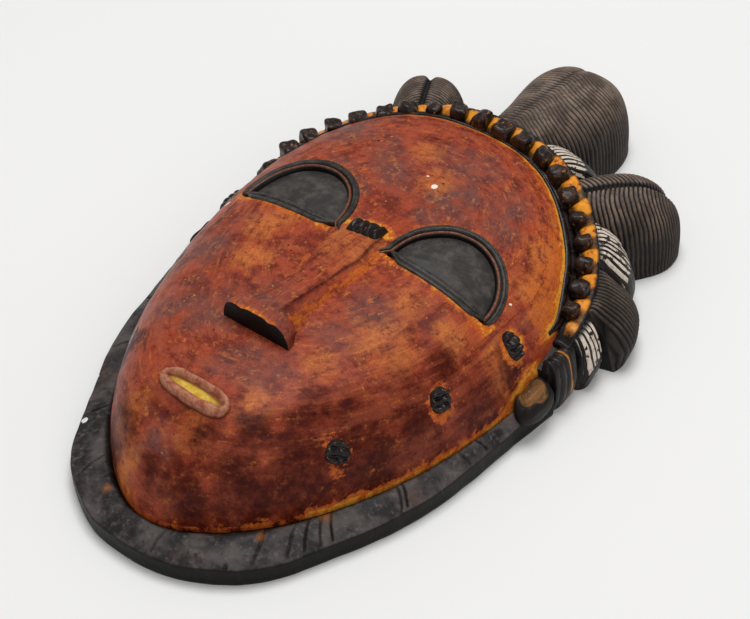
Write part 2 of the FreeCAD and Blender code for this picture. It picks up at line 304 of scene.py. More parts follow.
def closed_rings(rings):
    """Points and faces of a closed skin: rings of points, with a fan over each end."""
    rows, around = rings.shape[:2]
    points = np.vstack([rings.reshape(-1, 3), rings[0].mean(0), rings[-1].mean(0)])
    faces = [tuple(face) for face in ring_faces(rows, around)]
    first, last = rows * around, rows * around + 1
    base = (rows - 1) * around
    for j in range(around):
        k = (j + 1) % around
        faces.append((first, k, j))
        faces.append((last, base + j, base + k))
    return points, faces


def with_ends(values):
    """A value for each point of closed_rings, from one for each ring point."""
    return np.concatenate([values.ravel(), [values[0].mean(), values[-1].mean()]])


def relief(grid, under):
    """A closed slab: a top grid of points, and the same grid lower down."""
    rows, columns = grid.shape[:2]
    points = np.vstack([grid.reshape(-1, 3), under.reshape(-1, 3)])
    top = sheet_faces(rows, columns)
    count = rows * columns
    faces = [tuple(face) for face in top] + [tuple(face[::-1] + count) for face in top]
    edge = list(range(columns))
    edge += [i * columns + columns - 1 for i in range(1, rows)]
    edge += [(rows - 1) * columns + j for j in range(columns - 2, -1, -1)]
    edge += [i * columns for i in range(rows - 2, 0, -1)]
    for a, b in zip(edge, edge[1:] + edge[:1]):
        faces.append((b, a, a + count, b + count))
    return points, faces


# ---- paints ------------------------------------------------------------------------------
def rgb(text):
    """A linear colour from sRGB hex digits."""
    parts = [int(text[i:i + 2], 16) / 255 for i in (0, 2, 4)]
    return [p / 12.92 if p <= 0.04045 else ((p + 0.055) / 1.055) ** 2.4 for p in parts] + [1.0]


class Paint:
    """Builds one procedural material from noise, masks and mixes."""

    def __init__(self, name, coat=0.0, specular=0.22):
        self.material = bpy.data.materials.new(name)
        self.material.use_nodes = True
        self.tree = self.material.node_tree
        self.tree.nodes.clear()
        self.shader = self.add("ShaderNodeBsdfPrincipled")
        self.shader.inputs["Specular IOR Level"].default_value = specular
        self.shader.inputs["Coat Weight"].default_value = coat
        self.shader.inputs["Coat Roughness"].default_value = 0.22
        out = self.add("ShaderNodeOutputMaterial")
        self.tree.links.new(self.shader.outputs[0], out.inputs[0])
        self.place = self.add("ShaderNodeTexCoord").outputs["Object"]
        self.colour = None

    def add(self, kind):
        return self.tree.nodes.new(kind)

    def put(self, socket, value):
        """Links a socket, or sets it to a colour in hex digits or to a number."""
        if isinstance(value, bpy.types.NodeSocket):
            self.tree.links.new(value, socket)
        elif isinstance(value, str):
            socket.default_value = rgb(value)
        else:
            socket.default_value = value

    def mask(self, name):
        """One of the numbers that a piece carries at each of its points."""
        node = self.add("ShaderNodeAttribute")
        node.attribute_name = name
        return node.outputs["Fac"]

    def noise(self, size, detail=3.0, rough=0.55, stretch=(1, 1, 1), shift=0.0, at=None):
        """Noise from 0 to 1 whose lumps are about size millimetres, drawn out by stretch."""
        mapping = self.add("ShaderNodeMapping")
        mapping.inputs["Location"].default_value = (shift, shift * 0.7, -shift)
        mapping.inputs["Scale"].default_value = [1 / (size * MM * s) for s in stretch]
        self.put(mapping.inputs["Vector"], at or self.place)
        node = self.add("ShaderNodeTexNoise")
        node.inputs["Scale"].default_value = 1.0
        node.inputs["Detail"].default_value = detail
        node.inputs["Roughness"].default_value = rough
        self.put(node.inputs["Vector"], mapping.outputs[0])
        return node.outputs["Fac"]

    def joined(self, *values):
        """A vector of three values."""
        node = self.add("ShaderNodeCombineXYZ")
        for socket, value in zip(node.inputs, values):
            self.put(socket, value)
        return node.outputs[0]

    def spots(self, size, share):
        """Small round flecks, about size millimetres apart, each as wide as share of that."""
        mapping = self.add("ShaderNodeMapping")
        mapping.inputs["Scale"].default_value = [1 / (size * MM)] * 3
        self.put(mapping.inputs["Vector"], self.place)
        node = self.add("ShaderNodeTexVoronoi")
        node.inputs["Scale"].default_value = 1.0
        self.put(node.inputs["Vector"], mapping.outputs[0])
        return self.ramp(node.outputs["Distance"], share, share * 0.6)

    def ramp(self, value, low, high, start=0.0, end=1.0):
        """Start below low, end above high and a soft step between; low may be the larger."""
        node = self.add("ShaderNodeMapRange")
        node.interpolation_type = "SMOOTHSTEP"
        keys = ("From Min", "From Max", "To Min", "To Max")
        for key, number in zip(keys, (low, high, start, end)):
            node.inputs[key].default_value = number
        self.put(node.inputs["Value"], value)
        return node.outputs[0]

    def math(self, kind, a, b=0.5, c=0.5):
        node = self.add("ShaderNodeMath")
        node.operation = kind
        for socket, value in zip(node.inputs, (a, b, c)):
            self.put(socket, value)
        return node.outputs[0]

    def times(self, *values):
        total = values[0]
        for value in values[1:]:
            total = self.math("MULTIPLY", total, value)
        return total

    def mix(self, share, under, over):
        """The colour under with a share of the colour over on it."""
        node = self.add("ShaderNodeMix")
        node.data_type = "RGBA"
        self.put(node.inputs[0], share)
        self.put(node.inputs[6], under)
        self.put(node.inputs[7], over)
        return node.outputs[2]

    def base(self, share, under, over):
        """The first layer: two colours, mixed by share."""
        self.colour = self.mix(share, under, over)

    def over(self, share, colour):
        """One more layer of colour, as thick as share."""
        self.colour = self.mix(share, self.colour, colour)

    def done(self, roughness, bumps=()):
        """Sets the shader; bumps are (height socket, depth in millimetres) pairs."""
        self.put(self.shader.inputs["Base Color"], self.colour)
        self.put(self.shader.inputs["Roughness"], roughness)
        normal = None
        for value, depth in bumps:
            bump = self.add("ShaderNodeBump")
            bump.inputs["Strength"].default_value = 1.0
            bump.inputs["Distance"].default_value = depth * MM
            self.put(bump.inputs["Height"], value)
            if normal is not None:
                self.put(bump.inputs["Normal"], normal)
            normal = bump.outputs[0]
        if normal is not None:
            self.put(self.shader.inputs["Normal"], normal)
        return self.material


def face_paint(name="mahogany_paint"):
    """Red-brown brushed thinly over an orange undercoat, with purple-brown smudges and flecks; the
    smudges are partly painted sheen on the right side, and the deep red-brown is partly painted
    shade low on the left side and below the lips.
    """
    p = Paint(name, coat=0.02, specular=0.1)
    wear, smudge, warm, deep = (p.mask(key) for key in ("wear", "smudge", "warm", "deep"))
    broad = p.noise(30, 4, 0.65, shift=3)
    cloud = p.noise(9, 6, 0.72, shift=9)
    mottle = p.noise(3.4, 5, 0.78, shift=6)
    # brush strokes run round the head, side by side with its edge
    brushed = p.joined(p.mask("edge"), p.mask("round_a"), p.mask("round_b"))
    streaky = p.mask("streaky")
    strokes = p.noise(1.3, 5, 0.7, stretch=(1, 9, 9), shift=5, at=brushed)
    sweeps = p.noise(3.6, 5, 0.68, stretch=(1, 7, 7), shift=2, at=brushed)
    grain = p.noise(0.7, 3, 0.75, shift=2)

    p.base(p.ramp(cloud, 0.4, 0.6), "a9472c", "752a1c")
    p.over(p.times(p.ramp(sweeps, 0.46, 0.62, 0, 0.7), streaky), "a9523a")
    p.over(p.times(p.ramp(sweeps, 0.44, 0.32, 0, 0.8), streaky), "4e170e")
    # purple-brown smudges, where the mask has them and where the noise does; on the right side of
    # the face they are partly painted sheen
    smudge_and_sheen_cover = p.math("ADD", smudge, p.ramp(broad, 0.48, 0.34, 0, 0.35))
    smudge_and_sheen_cover = p.times(smudge_and_sheen_cover, p.ramp(cloud, 0.34, 0.58, 0.45, 1.0),
                     p.ramp(mottle, 0.3, 0.6, 0.65, 1.0), p.ramp(deep, 0.1, 0.7, 1.0, 0.25))
    p.over(p.math("MINIMUM", smudge_and_sheen_cover, 0.92), "6d4844")
    # the undercoat shows through in mottles and short strokes
    thin = p.times(p.ramp(mottle, 0.52, 0.66), p.ramp(cloud, 0.4, 0.6, 0.25, 1))
    thin_b = p.times(p.ramp(strokes, 0.54, 0.68), p.ramp(broad, 0.35, 0.6, 0.3, 1.0), streaky)
    thin = p.math("MAXIMUM", thin, thin_b)
    p.over(p.times(thin, 0.6), "dc7f3c")
    warmth = p.times(warm, p.ramp(mottle, 0.32, 0.58, 0.2, 1.0), p.ramp(sweeps, 0.35, 0.6, 0.35, 1))
    p.over(p.times(warmth, 0.9), "d77f3c")
    # dried paint lies darker in fine mottles
    p.over(p.ramp(mottle, 0.46, 0.3, 0, 0.65), "521a10")
    # worn to the undercoat along edges and creases
    ragged = p.math("ADD", wear, p.ramp(strokes, 0.3, 0.7, -0.22, 0.22))
    ragged = p.math("ADD", ragged, p.ramp(mottle, 0.3, 0.7, -0.22, 0.22))
    p.over(p.ramp(ragged, 0.2, 0.66, 0, 0.8), "cf6820")
    p.over(p.ramp(ragged, 0.66, 1.02, 0, 0.92), "f0a63c")
    # fine flecks, pinholes and chips
    flecks = p.times(p.spots(2.9, 0.2), p.ramp(cloud, 0.52, 0.62))
    p.over(p.times(flecks, 0.6), "dc9a5c")
    pits = p.times(p.spots(5.3, 0.11), p.ramp(p.noise(19, 2, shift=7), 0.52, 0.6))
    p.over(pits, "2a1512")
    p.over(p.ramp(grain, 0.35, 0.7, 0.0, 0.35), "4f2118")
    # deep red-brown, which is painted shade low on the left side of the face and below the lips
    deep_and_shade_cover = p.times(deep, p.ramp(mottle, 0.3, 0.62, 1.0, 0.8),
                       p.ramp(sweeps, 0.42, 0.66, 1.0, 0.6), p.ramp(ragged, 0.45, 0.25))
    p.over(deep_and_shade_cover, "330500")
    p.over(p.ramp(p.mask("chip"), 0.45, 0.6), "f2e6d8")
    rough = p.ramp(cloud, 0.3, 0.7, 0.34, 0.52)
    return p.done(rough, ((sweeps, 0.22), (strokes, 0.1), (mottle, 0.16), (pits, -0.25)))


def dark_paint(name, base, worn, roughness=0.38, size=5.0, undercoat=0.0, coat=0.0):
    """Black or charcoal paint, thin and brownish where it is worn."""
    p = Paint(name, coat=coat)
    cloud = p.noise(size, 4, 0.65)
    grain = p.noise(size * 0.16, 3, 0.7)
    p.base(p.ramp(cloud, 0.4, 0.75, 0, 0.8), base, worn)
    p.over(p.ramp(grain, 0.55, 0.8, 0, 0.35), worn)
    if undercoat:
        bare = p.times(p.ramp(p.noise(size * 0.7, 4, 0.7, shift=4), 0.6, 0.68), undercoat)
        p.over(bare, "b5702a")
    rough = p.ramp(cloud, 0.3, 0.7, roughness - 0.07, roughness + 0.1)
    return p.done(rough, ((cloud, 0.25), (grain, 0.06)))


def collar_paint():
    """Grey-black with brown smudges; painted shade makes the outer wall and the crease beside the
    face near-black, and the cuts are darker.
    """
    p = Paint("collar_paint", specular=0.12)
    cloud = p.noise(13, 4, 0.6)
    fine = p.noise(2.4, 4, 0.7, stretch=(1, 1, 3))
    p.base(p.ramp(cloud, 0.38, 0.64), "272425", "524c4a")
    p.over(p.ramp(fine, 0.5, 0.75, 0, 0.65), "6c6460")
    p.over(p.ramp(fine, 0.42, 0.28, 0, 0.7), "151212")
    p.over(p.times(p.ramp(p.noise(18, 3, shift=6), 0.56, 0.72), 0.45), "57392a")
    # painted shade: near-black on the outer wall and in the crease beside the face; also the dark
    # knife cuts and the pinhole
    p.over(p.mask("cut"), "080606")
    p.over(p.times(p.mask("drip"), p.ramp(fine, 0.3, 0.6, 0.5, 1)), "a86428")
    p.over(p.ramp(p.mask("chip"), 0.45, 0.6), "e8e4de")
    return p.done(p.ramp(cloud, 0.3, 0.7, 0.4, 0.55), ((cloud, 0.5), (fine, 0.3)))


def hair_paint():
    """Black-brown hair, worn to brown on the tops of its ridges, and painted near-black as painted
    shade where it faces sideways or down.
    """
    p = Paint("hair_paint")
    ridge = p.mask("ridge")
    cloud = p.noise(12, 4, 0.6)
    fine = p.noise(1.7, 3, 0.7)
    worn = p.times(p.ramp(ridge, 0.45, 0.95), p.ramp(cloud, 0.34, 0.66, 0.3, 1))
    worn = p.times(worn, p.ramp(fine, 0.3, 0.62, 0.35, 1))
    p.base(p.ramp(ridge, 0.3, 0.85), "060404", "3d322d")
    p.over(p.times(p.ramp(cloud, 0.42, 0.64), p.ramp(ridge, 0.5, 0.9, 0.0, 0.8)), "6b6058")
    p.over(worn, "8c7868")
    # painted shade: near-black where the hair faces sideways or down
    p.over(p.times(p.ramp(p.mask("up"), 0.75, 0.1), 0.8), "0b0807")
    return p.done(p.ramp(cloud, 0.3, 0.7, 0.45, 0.62), ((fine, 0.2),))


def wrap_paint():
    """Smooth black rolls with broken cream stripes that run outwards from the band."""
    p = Paint("wrap_paint", coat=0.05)
    across, along = p.mask("across"), p.mask("along")
    wobble = p.noise(16, 2, 0.5)
    phase = p.math("ADD", p.times(across, 1 / STRIPE_PITCH), p.ramp(wobble, 0.2, 0.8, -0.25, 0.25))
    phase = p.math("PINGPONG", phase, 0.5)
    stripe = p.ramp(phase, 0.17, 0.22)
    breaks = p.ramp(p.noise(4.0, 3, 0.65, shift=8), 0.38, 0.43)
    ragged = p.math("ADD", along, p.ramp(p.noise(7, 2, shift=2), 0.3, 0.7, -5.0, 5.0))
    ends = p.ramp(ragged, 24.0, 22.0)
    stripe = p.times(stripe, breaks, p.mask("striped"), p.ramp(along, 4.0, 7.0), ends)
    cloud = p.noise(6, 4, 0.65)
    p.base(p.ramp(cloud, 0.4, 0.7), "161314", "322b28")
    cream = p.mix(p.ramp(p.noise(2.2, 3, 0.7), 0.45, 0.75), "dccdbd", "a8917e")
    p.over(stripe, cream)
    edge = p.times(p.ramp(phase, 0.07, 0.12), p.ramp(phase, 0.21, 0.15), p.mask("striped"))
    rough = p.ramp(cloud, 0.3, 0.7, 0.3, 0.5)
    return p.done(rough, ((stripe, 0.35), (edge, -0.3), (cloud, 0.2)))


def lock_paint():
    """Ringed black lock with one orange line."""
    p = Paint("lock_paint", coat=0.05)
    cloud = p.noise(6, 4, 0.65)
    ridge = p.mask("ridge")
    p.base(p.ramp(ridge, 0.1, 0.8), "080606", "1c1817")
    p.over(p.ramp(cloud, 0.5, 0.75, 0, 0.6), "332b27")
    p.over(p.times(p.mask("line"), p.ramp(cloud, 0.3, 0.5)), "c07a26")
    return p.done(p.ramp(cloud, 0.3, 0.7, 0.32, 0.5), ((cloud, 0.2),))


def band_paint():
    """Orange-yellow band with dark stain in its hollows."""
    p = Paint("band_paint", coat=0.05)
    cloud = p.noise(4.2, 4, 0.7)
    fine = p.noise(1.3, 3, 0.7)
    p.base(p.ramp(cloud, 0.35, 0.65), "f2a12e", "d9771c")
    p.over(p.ramp(fine, 0.55, 0.75, 0, 0.6), "fac85a")
    stain = p.math("ADD", p.ramp(cloud, 0.55, 0.66, 0, 0.85), p.mask("stain"))
    p.over(p.math("MINIMUM", stain, 1.0), "140e0d")
    return p.done(p.ramp(cloud, 0.3, 0.7, 0.36, 0.52), ((cloud, 0.3), (fine, 0.1)))


def brow_paint():
    """Dark brow with a thin red-brown ridge beside the eye."""
    p = Paint("brow_paint", coat=0.03)
    cloud = p.noise(5, 4, 0.65)
    fine = p.noise(1.2, 3, 0.7)
    p.base(p.ramp(cloud, 0.35, 0.7), "262322", "4a443e")
    p.over(p.ramp(fine, 0.5, 0.75, 0, 0.5), "655a50")
    red = p.mix(p.ramp(fine, 0.4, 0.7), "6b3526", "8a5a3a")
    p.over(p.mask("red"), red)
    p.over(p.mask("line"), "080606")
    return p.done(p.ramp(cloud, 0.3, 0.7, 0.36, 0.5), ((fine, 0.1), (cloud, 0.2)))


def wood_paint(name, base, dark, pale, size=7.0):
    """Bare worn wood with a dark outline where its mask says."""
    p = Paint(name)
    rings = p.noise(size, 4, 0.6, stretch=(1, 5, 1))
    fine = p.noise(0.8, 3, 0.7, stretch=(1, 8, 1))
    p.base(p.ramp(rings, 0.35, 0.65), base, dark)
    p.over(p.ramp(fine, 0.5, 0.75, 0, 0.6), pale)
    p.over(p.mask("cut"), "15100e")
    return p.done(p.ramp(rings, 0.3, 0.7, 0.5, 0.68), ((fine, 0.15), (rings, 0.3)))


def inlay_paint(name, base, pale, dark):
    """Thick mustard or pink paint, darker towards the edge of its recess."""
    p = Paint(name, coat=0.1)
    cloud = p.noise(3.0, 4, 0.7)
    fine = p.noise(1.0, 3, 0.7)
    p.base(p.ramp(cloud, 0.35, 0.65), base, pale)
    p.over(p.ramp(fine, 0.55, 0.8, 0, 0.5), dark)
    p.over(p.mask("cut"), dark)
    return p.done(p.ramp(cloud, 0.3, 0.7, 0.34, 0.5), ((cloud, 0.25), (fine, 0.08)))


PAINTS = {
    "face": face_paint(),
    "black": dark_paint("black_paint", "100d0d", "3a2822", 0.3, 4.0, undercoat=0.2, coat=0.1),
    "nostril": dark_paint("nostril_paint", "040303", "150c0a", 0.6, 4.0),
    "eye": dark_paint("eye_paint", "302d2b", "5b5550", 0.5, 6.0),
    "collar": collar_paint(),
    "hair": hair_paint(),
    "wrap": wrap_paint(),
    "lock": lock_paint(),
    "band": band_paint(),
    "brow": brow_paint(),
    "bead": dark_paint("bead_paint", "110c0b", "4b2f22", 0.34, 3.5, undercoat=0.7, coat=0.1),
    "ear": wood_paint("worn_wood", "8f6034", "4a3019", "c2945a"),
    "bare": wood_paint("bare_wood", "6b4a30", "4a311f", "8a6646"),
    "lip": inlay_paint("lip_paint", "8f4a33", "b57a5c", "4c1f14"),
    "mouth": inlay_paint("mouth_paint", "c99a22", "dcc04a", "7a4a12"),
}


# ---- the face ----------------------------------------------------------------------------
NOSE_STATIONS = ((-18.0, 13.4, 56.9), (-30.0, 12.2, 58.0), (-44.0, 10.0, 59.6), (-58.0, 8.8, 61.2),
                 (-70.0, 8.4, 63.2), (-75.5, 9.8, 64.3), (-78.5, 14.0, 64.8), (-81.5, 15.8, 65.0),
                 (-84.5, 16.0, 65.0))
# x, v, radius: purple-brown smudges, partly painted sheen on the right side, thin warm places and
# deep red-brown ones, partly painted shade low on the left side, and paint chips
SMUDGES_AND_SHEEN = ((8, 46, 15), (-17, 24, 17), (16, 24, 15), (34, 34, 13), (-34, 12, 11), (-22, 3, 10),
           (30, -50, 14), (12, 8, 9), (-50, 35, 14), (-62, -60, 16), (40, 22, 11), (14, -97, 14),
           (-20, -86, 13), (0, -141, 10), (-40, -90, 9), (24, -68, 9), (-2, -104, 8),
           (-46, -56, 11))
WARM = ((-12, 41, 8), (3, 27, 9), (-36, -34, 10), (-28, -52, 9), (68, 10, 14), (36, -36, 8),
        (-14, -147, 8), (30, -82, 8), (40, -56, 13), (22, -112, 8), (72, -24, 9), (-32, -24, 9),
        (8, -131, 7), (60, 26, 12), (55, -34, 8), (-20, -134, 7))
DEEP_AND_SHADE = ((0, -146, 6), (28, -118, 9), (38, -96, 9), (60, -46, 8), (68, -70, 20), (58, -92, 21),
        (46, -116, 20), (77, -40, 13), (16, -150, 15), (34, -133, 17), (14, -131, 8),
        (-24, -142, 12), (75, -20, 7), (-50, -110, 12))
CHIPS = ((4.3, 25.0, 1.7), (-1.5, 29.0, 0.9), (62.5, -3.9, 0.9), (-67.9, -22.7, 1.6))


def blots(spots, x, v, points):
    """How strongly a few soft spots cover each point, with ragged edges."""
    ragged = 1 + layered(points, (0.35, 7, 21), (0.2, 3, 22))
    cover = np.zeros_like(x)
    for place_x, place_v, radius in spots:
        away = np.hypot(x - place_x, v - place_v) / (radius * ragged)
        cover = np.maximum(cover, smooth(away, 1.25, 0.35))
    return cover


def nose_half(v):
    """Half width of the nose's foot at v, and nothing above and below the nose."""
    table = np.array(NOSE_STATIONS)[::-1]
    inside = (v > table[0, 0]) & (v < table[-1, 0])
    return np.where(inside, np.interp(v, table[:, 0], table[:, 1]), 0.0)


def eye_distance(x, v):
    """Distance outside an eye's half-moon outline, near enough; negative inside."""
    along = np.abs(x) - EYE_X
    up = v - EYE_V
    reach = np.hypot(along / EYE_HALF, up / EYE_TALL)
    round_edge = (reach - 1) * (EYE_HALF + EYE_TALL) / 2
    below = np.hypot(np.maximum(np.abs(along) - EYE_HALF, 0), np.maximum(-up, 0))
    return np.where(up >= 0, round_edge, np.maximum(below, 0.01))


def face_masks(points):
    """Where the red paint is worn to the orange, smudged, thin, deep or chipped; the smudges are
    partly painted sheen on the right, and the deep places are partly painted shade low on the left
    and below the lips.
    """
    x, v, z = points[..., 0], points[..., 1], points[..., 2]
    angle = np.arctan2(x / STRIP_IN[0], (v - BEAD_V) / STRIP_IN[1])
    hairline = -oval_offset(x, v, STRIP_IN) - strip_inward(angle)
    # measured over the slope, which is steep at the sides
    slope = surface(np.abs(x) + 0.5, v) - surface(np.abs(x) - 0.5, v)
    hairline = hairline * np.sqrt(1 + np.minimum(slope ** 2, 9.0))
    above = smooth(v, HAIR_END_V, HAIR_END_V + 14) * smooth(hairline, -6.0, -1.0)
    wear = above * 1.15 * np.exp(-np.maximum(hairline, 0) / (1.6 + 1.9 * smooth(x, 0, 50)))
    side_glow = (0.12 + 0.56 * smooth(x, 10, 60)) * np.exp(-np.maximum(hairline, 0) / 14.0)
    wear = np.maximum(wear, above * side_glow)
    # the same edge runs on down to the collar
    border = COLLAR_HIGH + (24.5 - COLLAR_HIGH) * smooth(v, -36, -10)
    lower = np.exp(-np.maximum(z - border, 0) / 1.1) * smooth(v, -60, -40) * smooth(v, 0, -10)
    wear = np.maximum(wear, np.where(x > 0, 0.8, 0.6) * lower)
    # the foot of the face, above the collar
    foot = np.clip(z - COLLAR_HIGH, 0, None)
    wear = np.maximum(wear, 0.9 * np.exp(-foot / 2.2) * smooth(v, -140, -105))
    wear = np.maximum(wear, 0.45 * np.exp(-foot / 1.2))
    wear = np.maximum(wear, 0.56 * np.exp(-foot / 1.6) * smooth(v, -95, -55) * smooth(v, 0, -20))
    # below the eyes, round the brows and beside the nose
    eye = eye_distance(x, v)
    under = np.exp(-np.maximum(EYE_V - 5.0 - v, 0) / 2.6)
    under = under * (v < EYE_V) * (np.abs(x) > 14) * (np.abs(x) < 64)
    wear = np.maximum(wear, 0.75 * under)
    wear = np.maximum(wear, 0.42 * np.exp(-np.abs(eye - 5.0) / 1.4))
    nose = np.abs(x) - nose_half(v)
    beside = np.where(nose_half(v) > 0, np.exp(-np.maximum(nose, 0) / np.where(x > 0, 3.0, 1.4)), 0)
    beside = beside * smooth(v, -84, -70)
    wear = np.maximum(wear, np.where(x > 0, 0.6, 0.3) * beside)
    # around the marks
    for (place_x, place_v, down, along, _, _), glow in zip(MARKS.values(), (0.8, 0.48, 0.34)):
        across = np.abs(np.abs(x) - place_x)
        away = np.maximum(np.hypot(across * 1.4, v - place_v) - (down + along) / 4, 0)
        wear = np.maximum(wear, np.where(x > 0, glow, 0.3) * np.exp(-away / 1.4))
    bridge = np.hypot((x + 0.8) / 9.2, (v + 13.0 - 0.2 * x) / 4.8)
    wear = np.maximum(wear, 0.8 * smooth(bridge, 1.5, 1.05))
    # deep red-brown places; those low on the left side of the face are painted shade
    deep = blots(DEEP_AND_SHADE, x, v, points)
    # darker below the lips: partly painted shadow and partly a stain
    lip = np.hypot(x / (LIP_HALF + 5), (v - LIP_V + 5) / 10.0)
    deep = np.maximum(deep, 0.55 * smooth(lip, 1.1, 0.6))
    return {
        "wear": wear,
        "smudge": 0.8 * blots(SMUDGES_AND_SHEEN, x, v, points),
        "warm": 0.75 * blots(WARM, x, v, points),
        "deep": 0.97 * deep,
        "chip": blots(CHIPS, x, v, points),
        **stroke_masks(x, v),
    }


STROKE_IN, STROKE_ROUND = 85.0, 95.0           # millimetres from edge to middle, and round


def stroke_masks(x, v):
    """Places for brush strokes that follow the face's outline: how far in, and which way round."""
    length = np.where(v > 0, FACE_UP, FACE_DOWN)
    out = np.hypot(x / FACE_HALF, v / length)
    turn = np.arctan2(x / FACE_HALF, v / length)
    return {"edge": (1 - out) * STROKE_IN * MM, "round_a": np.sin(turn) * STROKE_ROUND * MM,
            "round_b": np.cos(turn) * STROKE_ROUND * MM, "streaky": smooth(out, 0.12, 0.5)}


def carved(points, normals):
    """The face's points moved along their normals: eye sockets and slight unevenness."""
    x, v = points[..., 0], points[..., 1]
    sink = EYE_FLOOR * smooth(eye_distance(x, v), 3.4, 1.8)
    uneven = layered(points, (0.45, 26, 1), (0.22, 9, 2), (0.06, 3.2, 3))
    chips = 0.5 * blots(CHIPS, x, v, points)
    under_lip = 0.7 * np.exp(-((v - LIP_V + 9) / 4.5) ** 2 - (x / 12) ** 2)
    calm = smooth(points[..., 2], COLLAR_HIGH - 6, COLLAR_HIGH + 4)
    return points + normals * ((uneven * calm - sink - chips - under_lip)[..., None])


def shell_skin(rows, columns, grow):
    """One skin of the face as a grid of points, and a point at each of its ends."""
    grid = np.stack([section(v, columns, grow) for v in stations_of(rows, grow)])
    return grid, np.array([[0, -(FACE_DOWN + grow), 0], [0, FACE_UP + grow, 0]])


def make_face():
    """The domed face with its eye sockets, hollow behind."""
    rows, columns, columns_in = 300, 200, 60
    grid, ends = shell_skin(rows, columns, 0.0)
    grid = carved(grid, -normals_of(grid))
    hollow, hollow_ends = shell_skin(rows, columns_in, -WALL)
    gouged = layered(hollow, (0.9, 12, 5), (0.35, 5, 6))
    hollow[..., 2] = np.maximum(hollow[..., 2] + gouged * smooth(hollow[..., 2], 1, 8), 0)
    outer, inner = rows * columns, rows * columns_in
    points = np.vstack([grid.reshape(-1, 3), hollow.reshape(-1, 3), ends, hollow_ends])
    chin, top, chin_in, top_in = outer + inner + np.arange(4)
    faces = [tuple(f) for f in sheet_faces(rows, columns)]
    for j in range(columns - 1):
        faces.append((chin, j + 1, j))
        faces.append((top, (rows - 1) * columns + j, (rows - 1) * columns + j + 1))
    skin_count = len(faces)
    faces += [tuple(f[::-1]) for f in sheet_faces(rows, columns_in, outer)]
    for j in range(columns_in - 1):
        faces.append((chin_in, outer + j, outer + j + 1))
        faces.append((top_in, outer + (rows - 1) * columns_in + j + 1,
                      outer + (rows - 1) * columns_in + j))
    edge = [chin] + [i * columns for i in range(rows)] + [top]
    edge += [i * columns + columns - 1 for i in range(rows - 1, -1, -1)]
    edge_in = [chin_in] + [outer + i * columns_in for i in range(rows)] + [top_in]
    edge_in += [outer + i * columns_in + columns_in - 1 for i in range(rows - 1, -1, -1)]
    for k in range(len(edge)):
        m = (k + 1) % len(edge)
        faces.append((edge[k], edge[m], edge_in[m], edge_in[k]))
    piece("face", (points, faces), "face", "face_shell", face_masks(points),
          second="bare", paint_of=np.arange(len(faces)) >= skin_count)


def plain_face_masks(count, **given):
    """Masks for a small piece in the face's paint."""
    masks = {key: np.zeros(count) for key in ("wear", "smudge", "warm", "deep", "chip", "round_b")}
    masks.update(given)
    return masks


def make_nose():
    """The wedge nose: a flat bridge with sharp sides, two round wings and a black underside."""
    rows, columns, under = 170, 90, 12
    foot = 50.0
    line = through([(-12.0, 12.5, 55.2)] + list(NOSE_STATIONS), rows)
    rings = []
    shares = []
    for v, half, top in line:
        lobe = float(smooth(v, -74.0, -79.0))
        x = half * np.linspace(-1, 1, columns)
        ratio = np.abs(x / half)
        # the flank on the left slopes further out than the one on the right
        x = np.where(x > 0, x * (1 + 0.4 * (1 - lobe) * float(smooth(v, -20, -36))), x)
        base = surface(x, v) - 1.0
        flat = smooth(ratio, 1.02, np.where(x > 0, 0.5, 0.6))
        flat = 0.7 * flat + 0.3 * np.clip((1.02 - ratio) / np.where(x > 0, 0.5, 0.4), 0, 1)
        wing = (1 - ratio ** np.where(x > 0, 5.0, 9.0)) ** 0.5
        wing *= 1 - 0.04 * smooth(ratio, 0.3, 0.85)
        wing -= 0.1 * np.exp(-((ratio - 0.42) / 0.12) ** 2)
        z = base + (top - base.max()) * (flat * (1 - lobe) + wing * lobe)
        z = z - 0.5 * float(smooth(v, -82.5, -84.5)) * (ratio < 1)
        shares.append(np.concatenate([ratio, np.ones(under)]))
        x = np.concatenate([x, np.linspace(half, -half, under + 2)[1:-1]])
        z = np.concatenate([np.maximum(z, foot), np.full(under, foot)])
        rings.append(np.stack([x, np.full_like(x, v), z], 1))
    rings = np.array(rings)
    uneven = layered(rings, (0.3, 9, 8), (0.2, 3.5, 9))
    rings[..., 2] += uneven * (rings[..., 2] > foot + 0.5)
    points, faces = closed_rings(rings)
    count = len(points)
    underside = [int(len(face) == 3 and count - 1 in face) for face in faces]
    x, v = points[:, 0], points[:, 1]
    rim = with_ends(np.array(shares))
    worn_tip = 0.75 * smooth(v, -81.5, -84.3) * smooth(rim, 0.95, 0.4)
    along = smooth(v, -79, -74) * np.where(x > 0, 1.0, 0.3)
    crest = np.exp(-((rim - 0.54) / 0.06) ** 2) * along
    flank = smooth(rim, 0.64, 0.74) * along
    masks = plain_face_masks(
        count,
        deep=crest + 0.6 * smooth(rim, 0.9, 1.0) * (v < -76),
        wear=np.maximum(worn_tip, 0.45 * flank),
        warm=0.5 * smooth(v, -50, -25),
        smudge=0.45 * smooth(v, -50, -70),
        edge=x * MM,
        round_a=v * MM,
        streaky=np.ones(count))
    piece("nose_wedge", (points, faces), "face", "nose", masks,
          second="nostril", paint_of=underside)


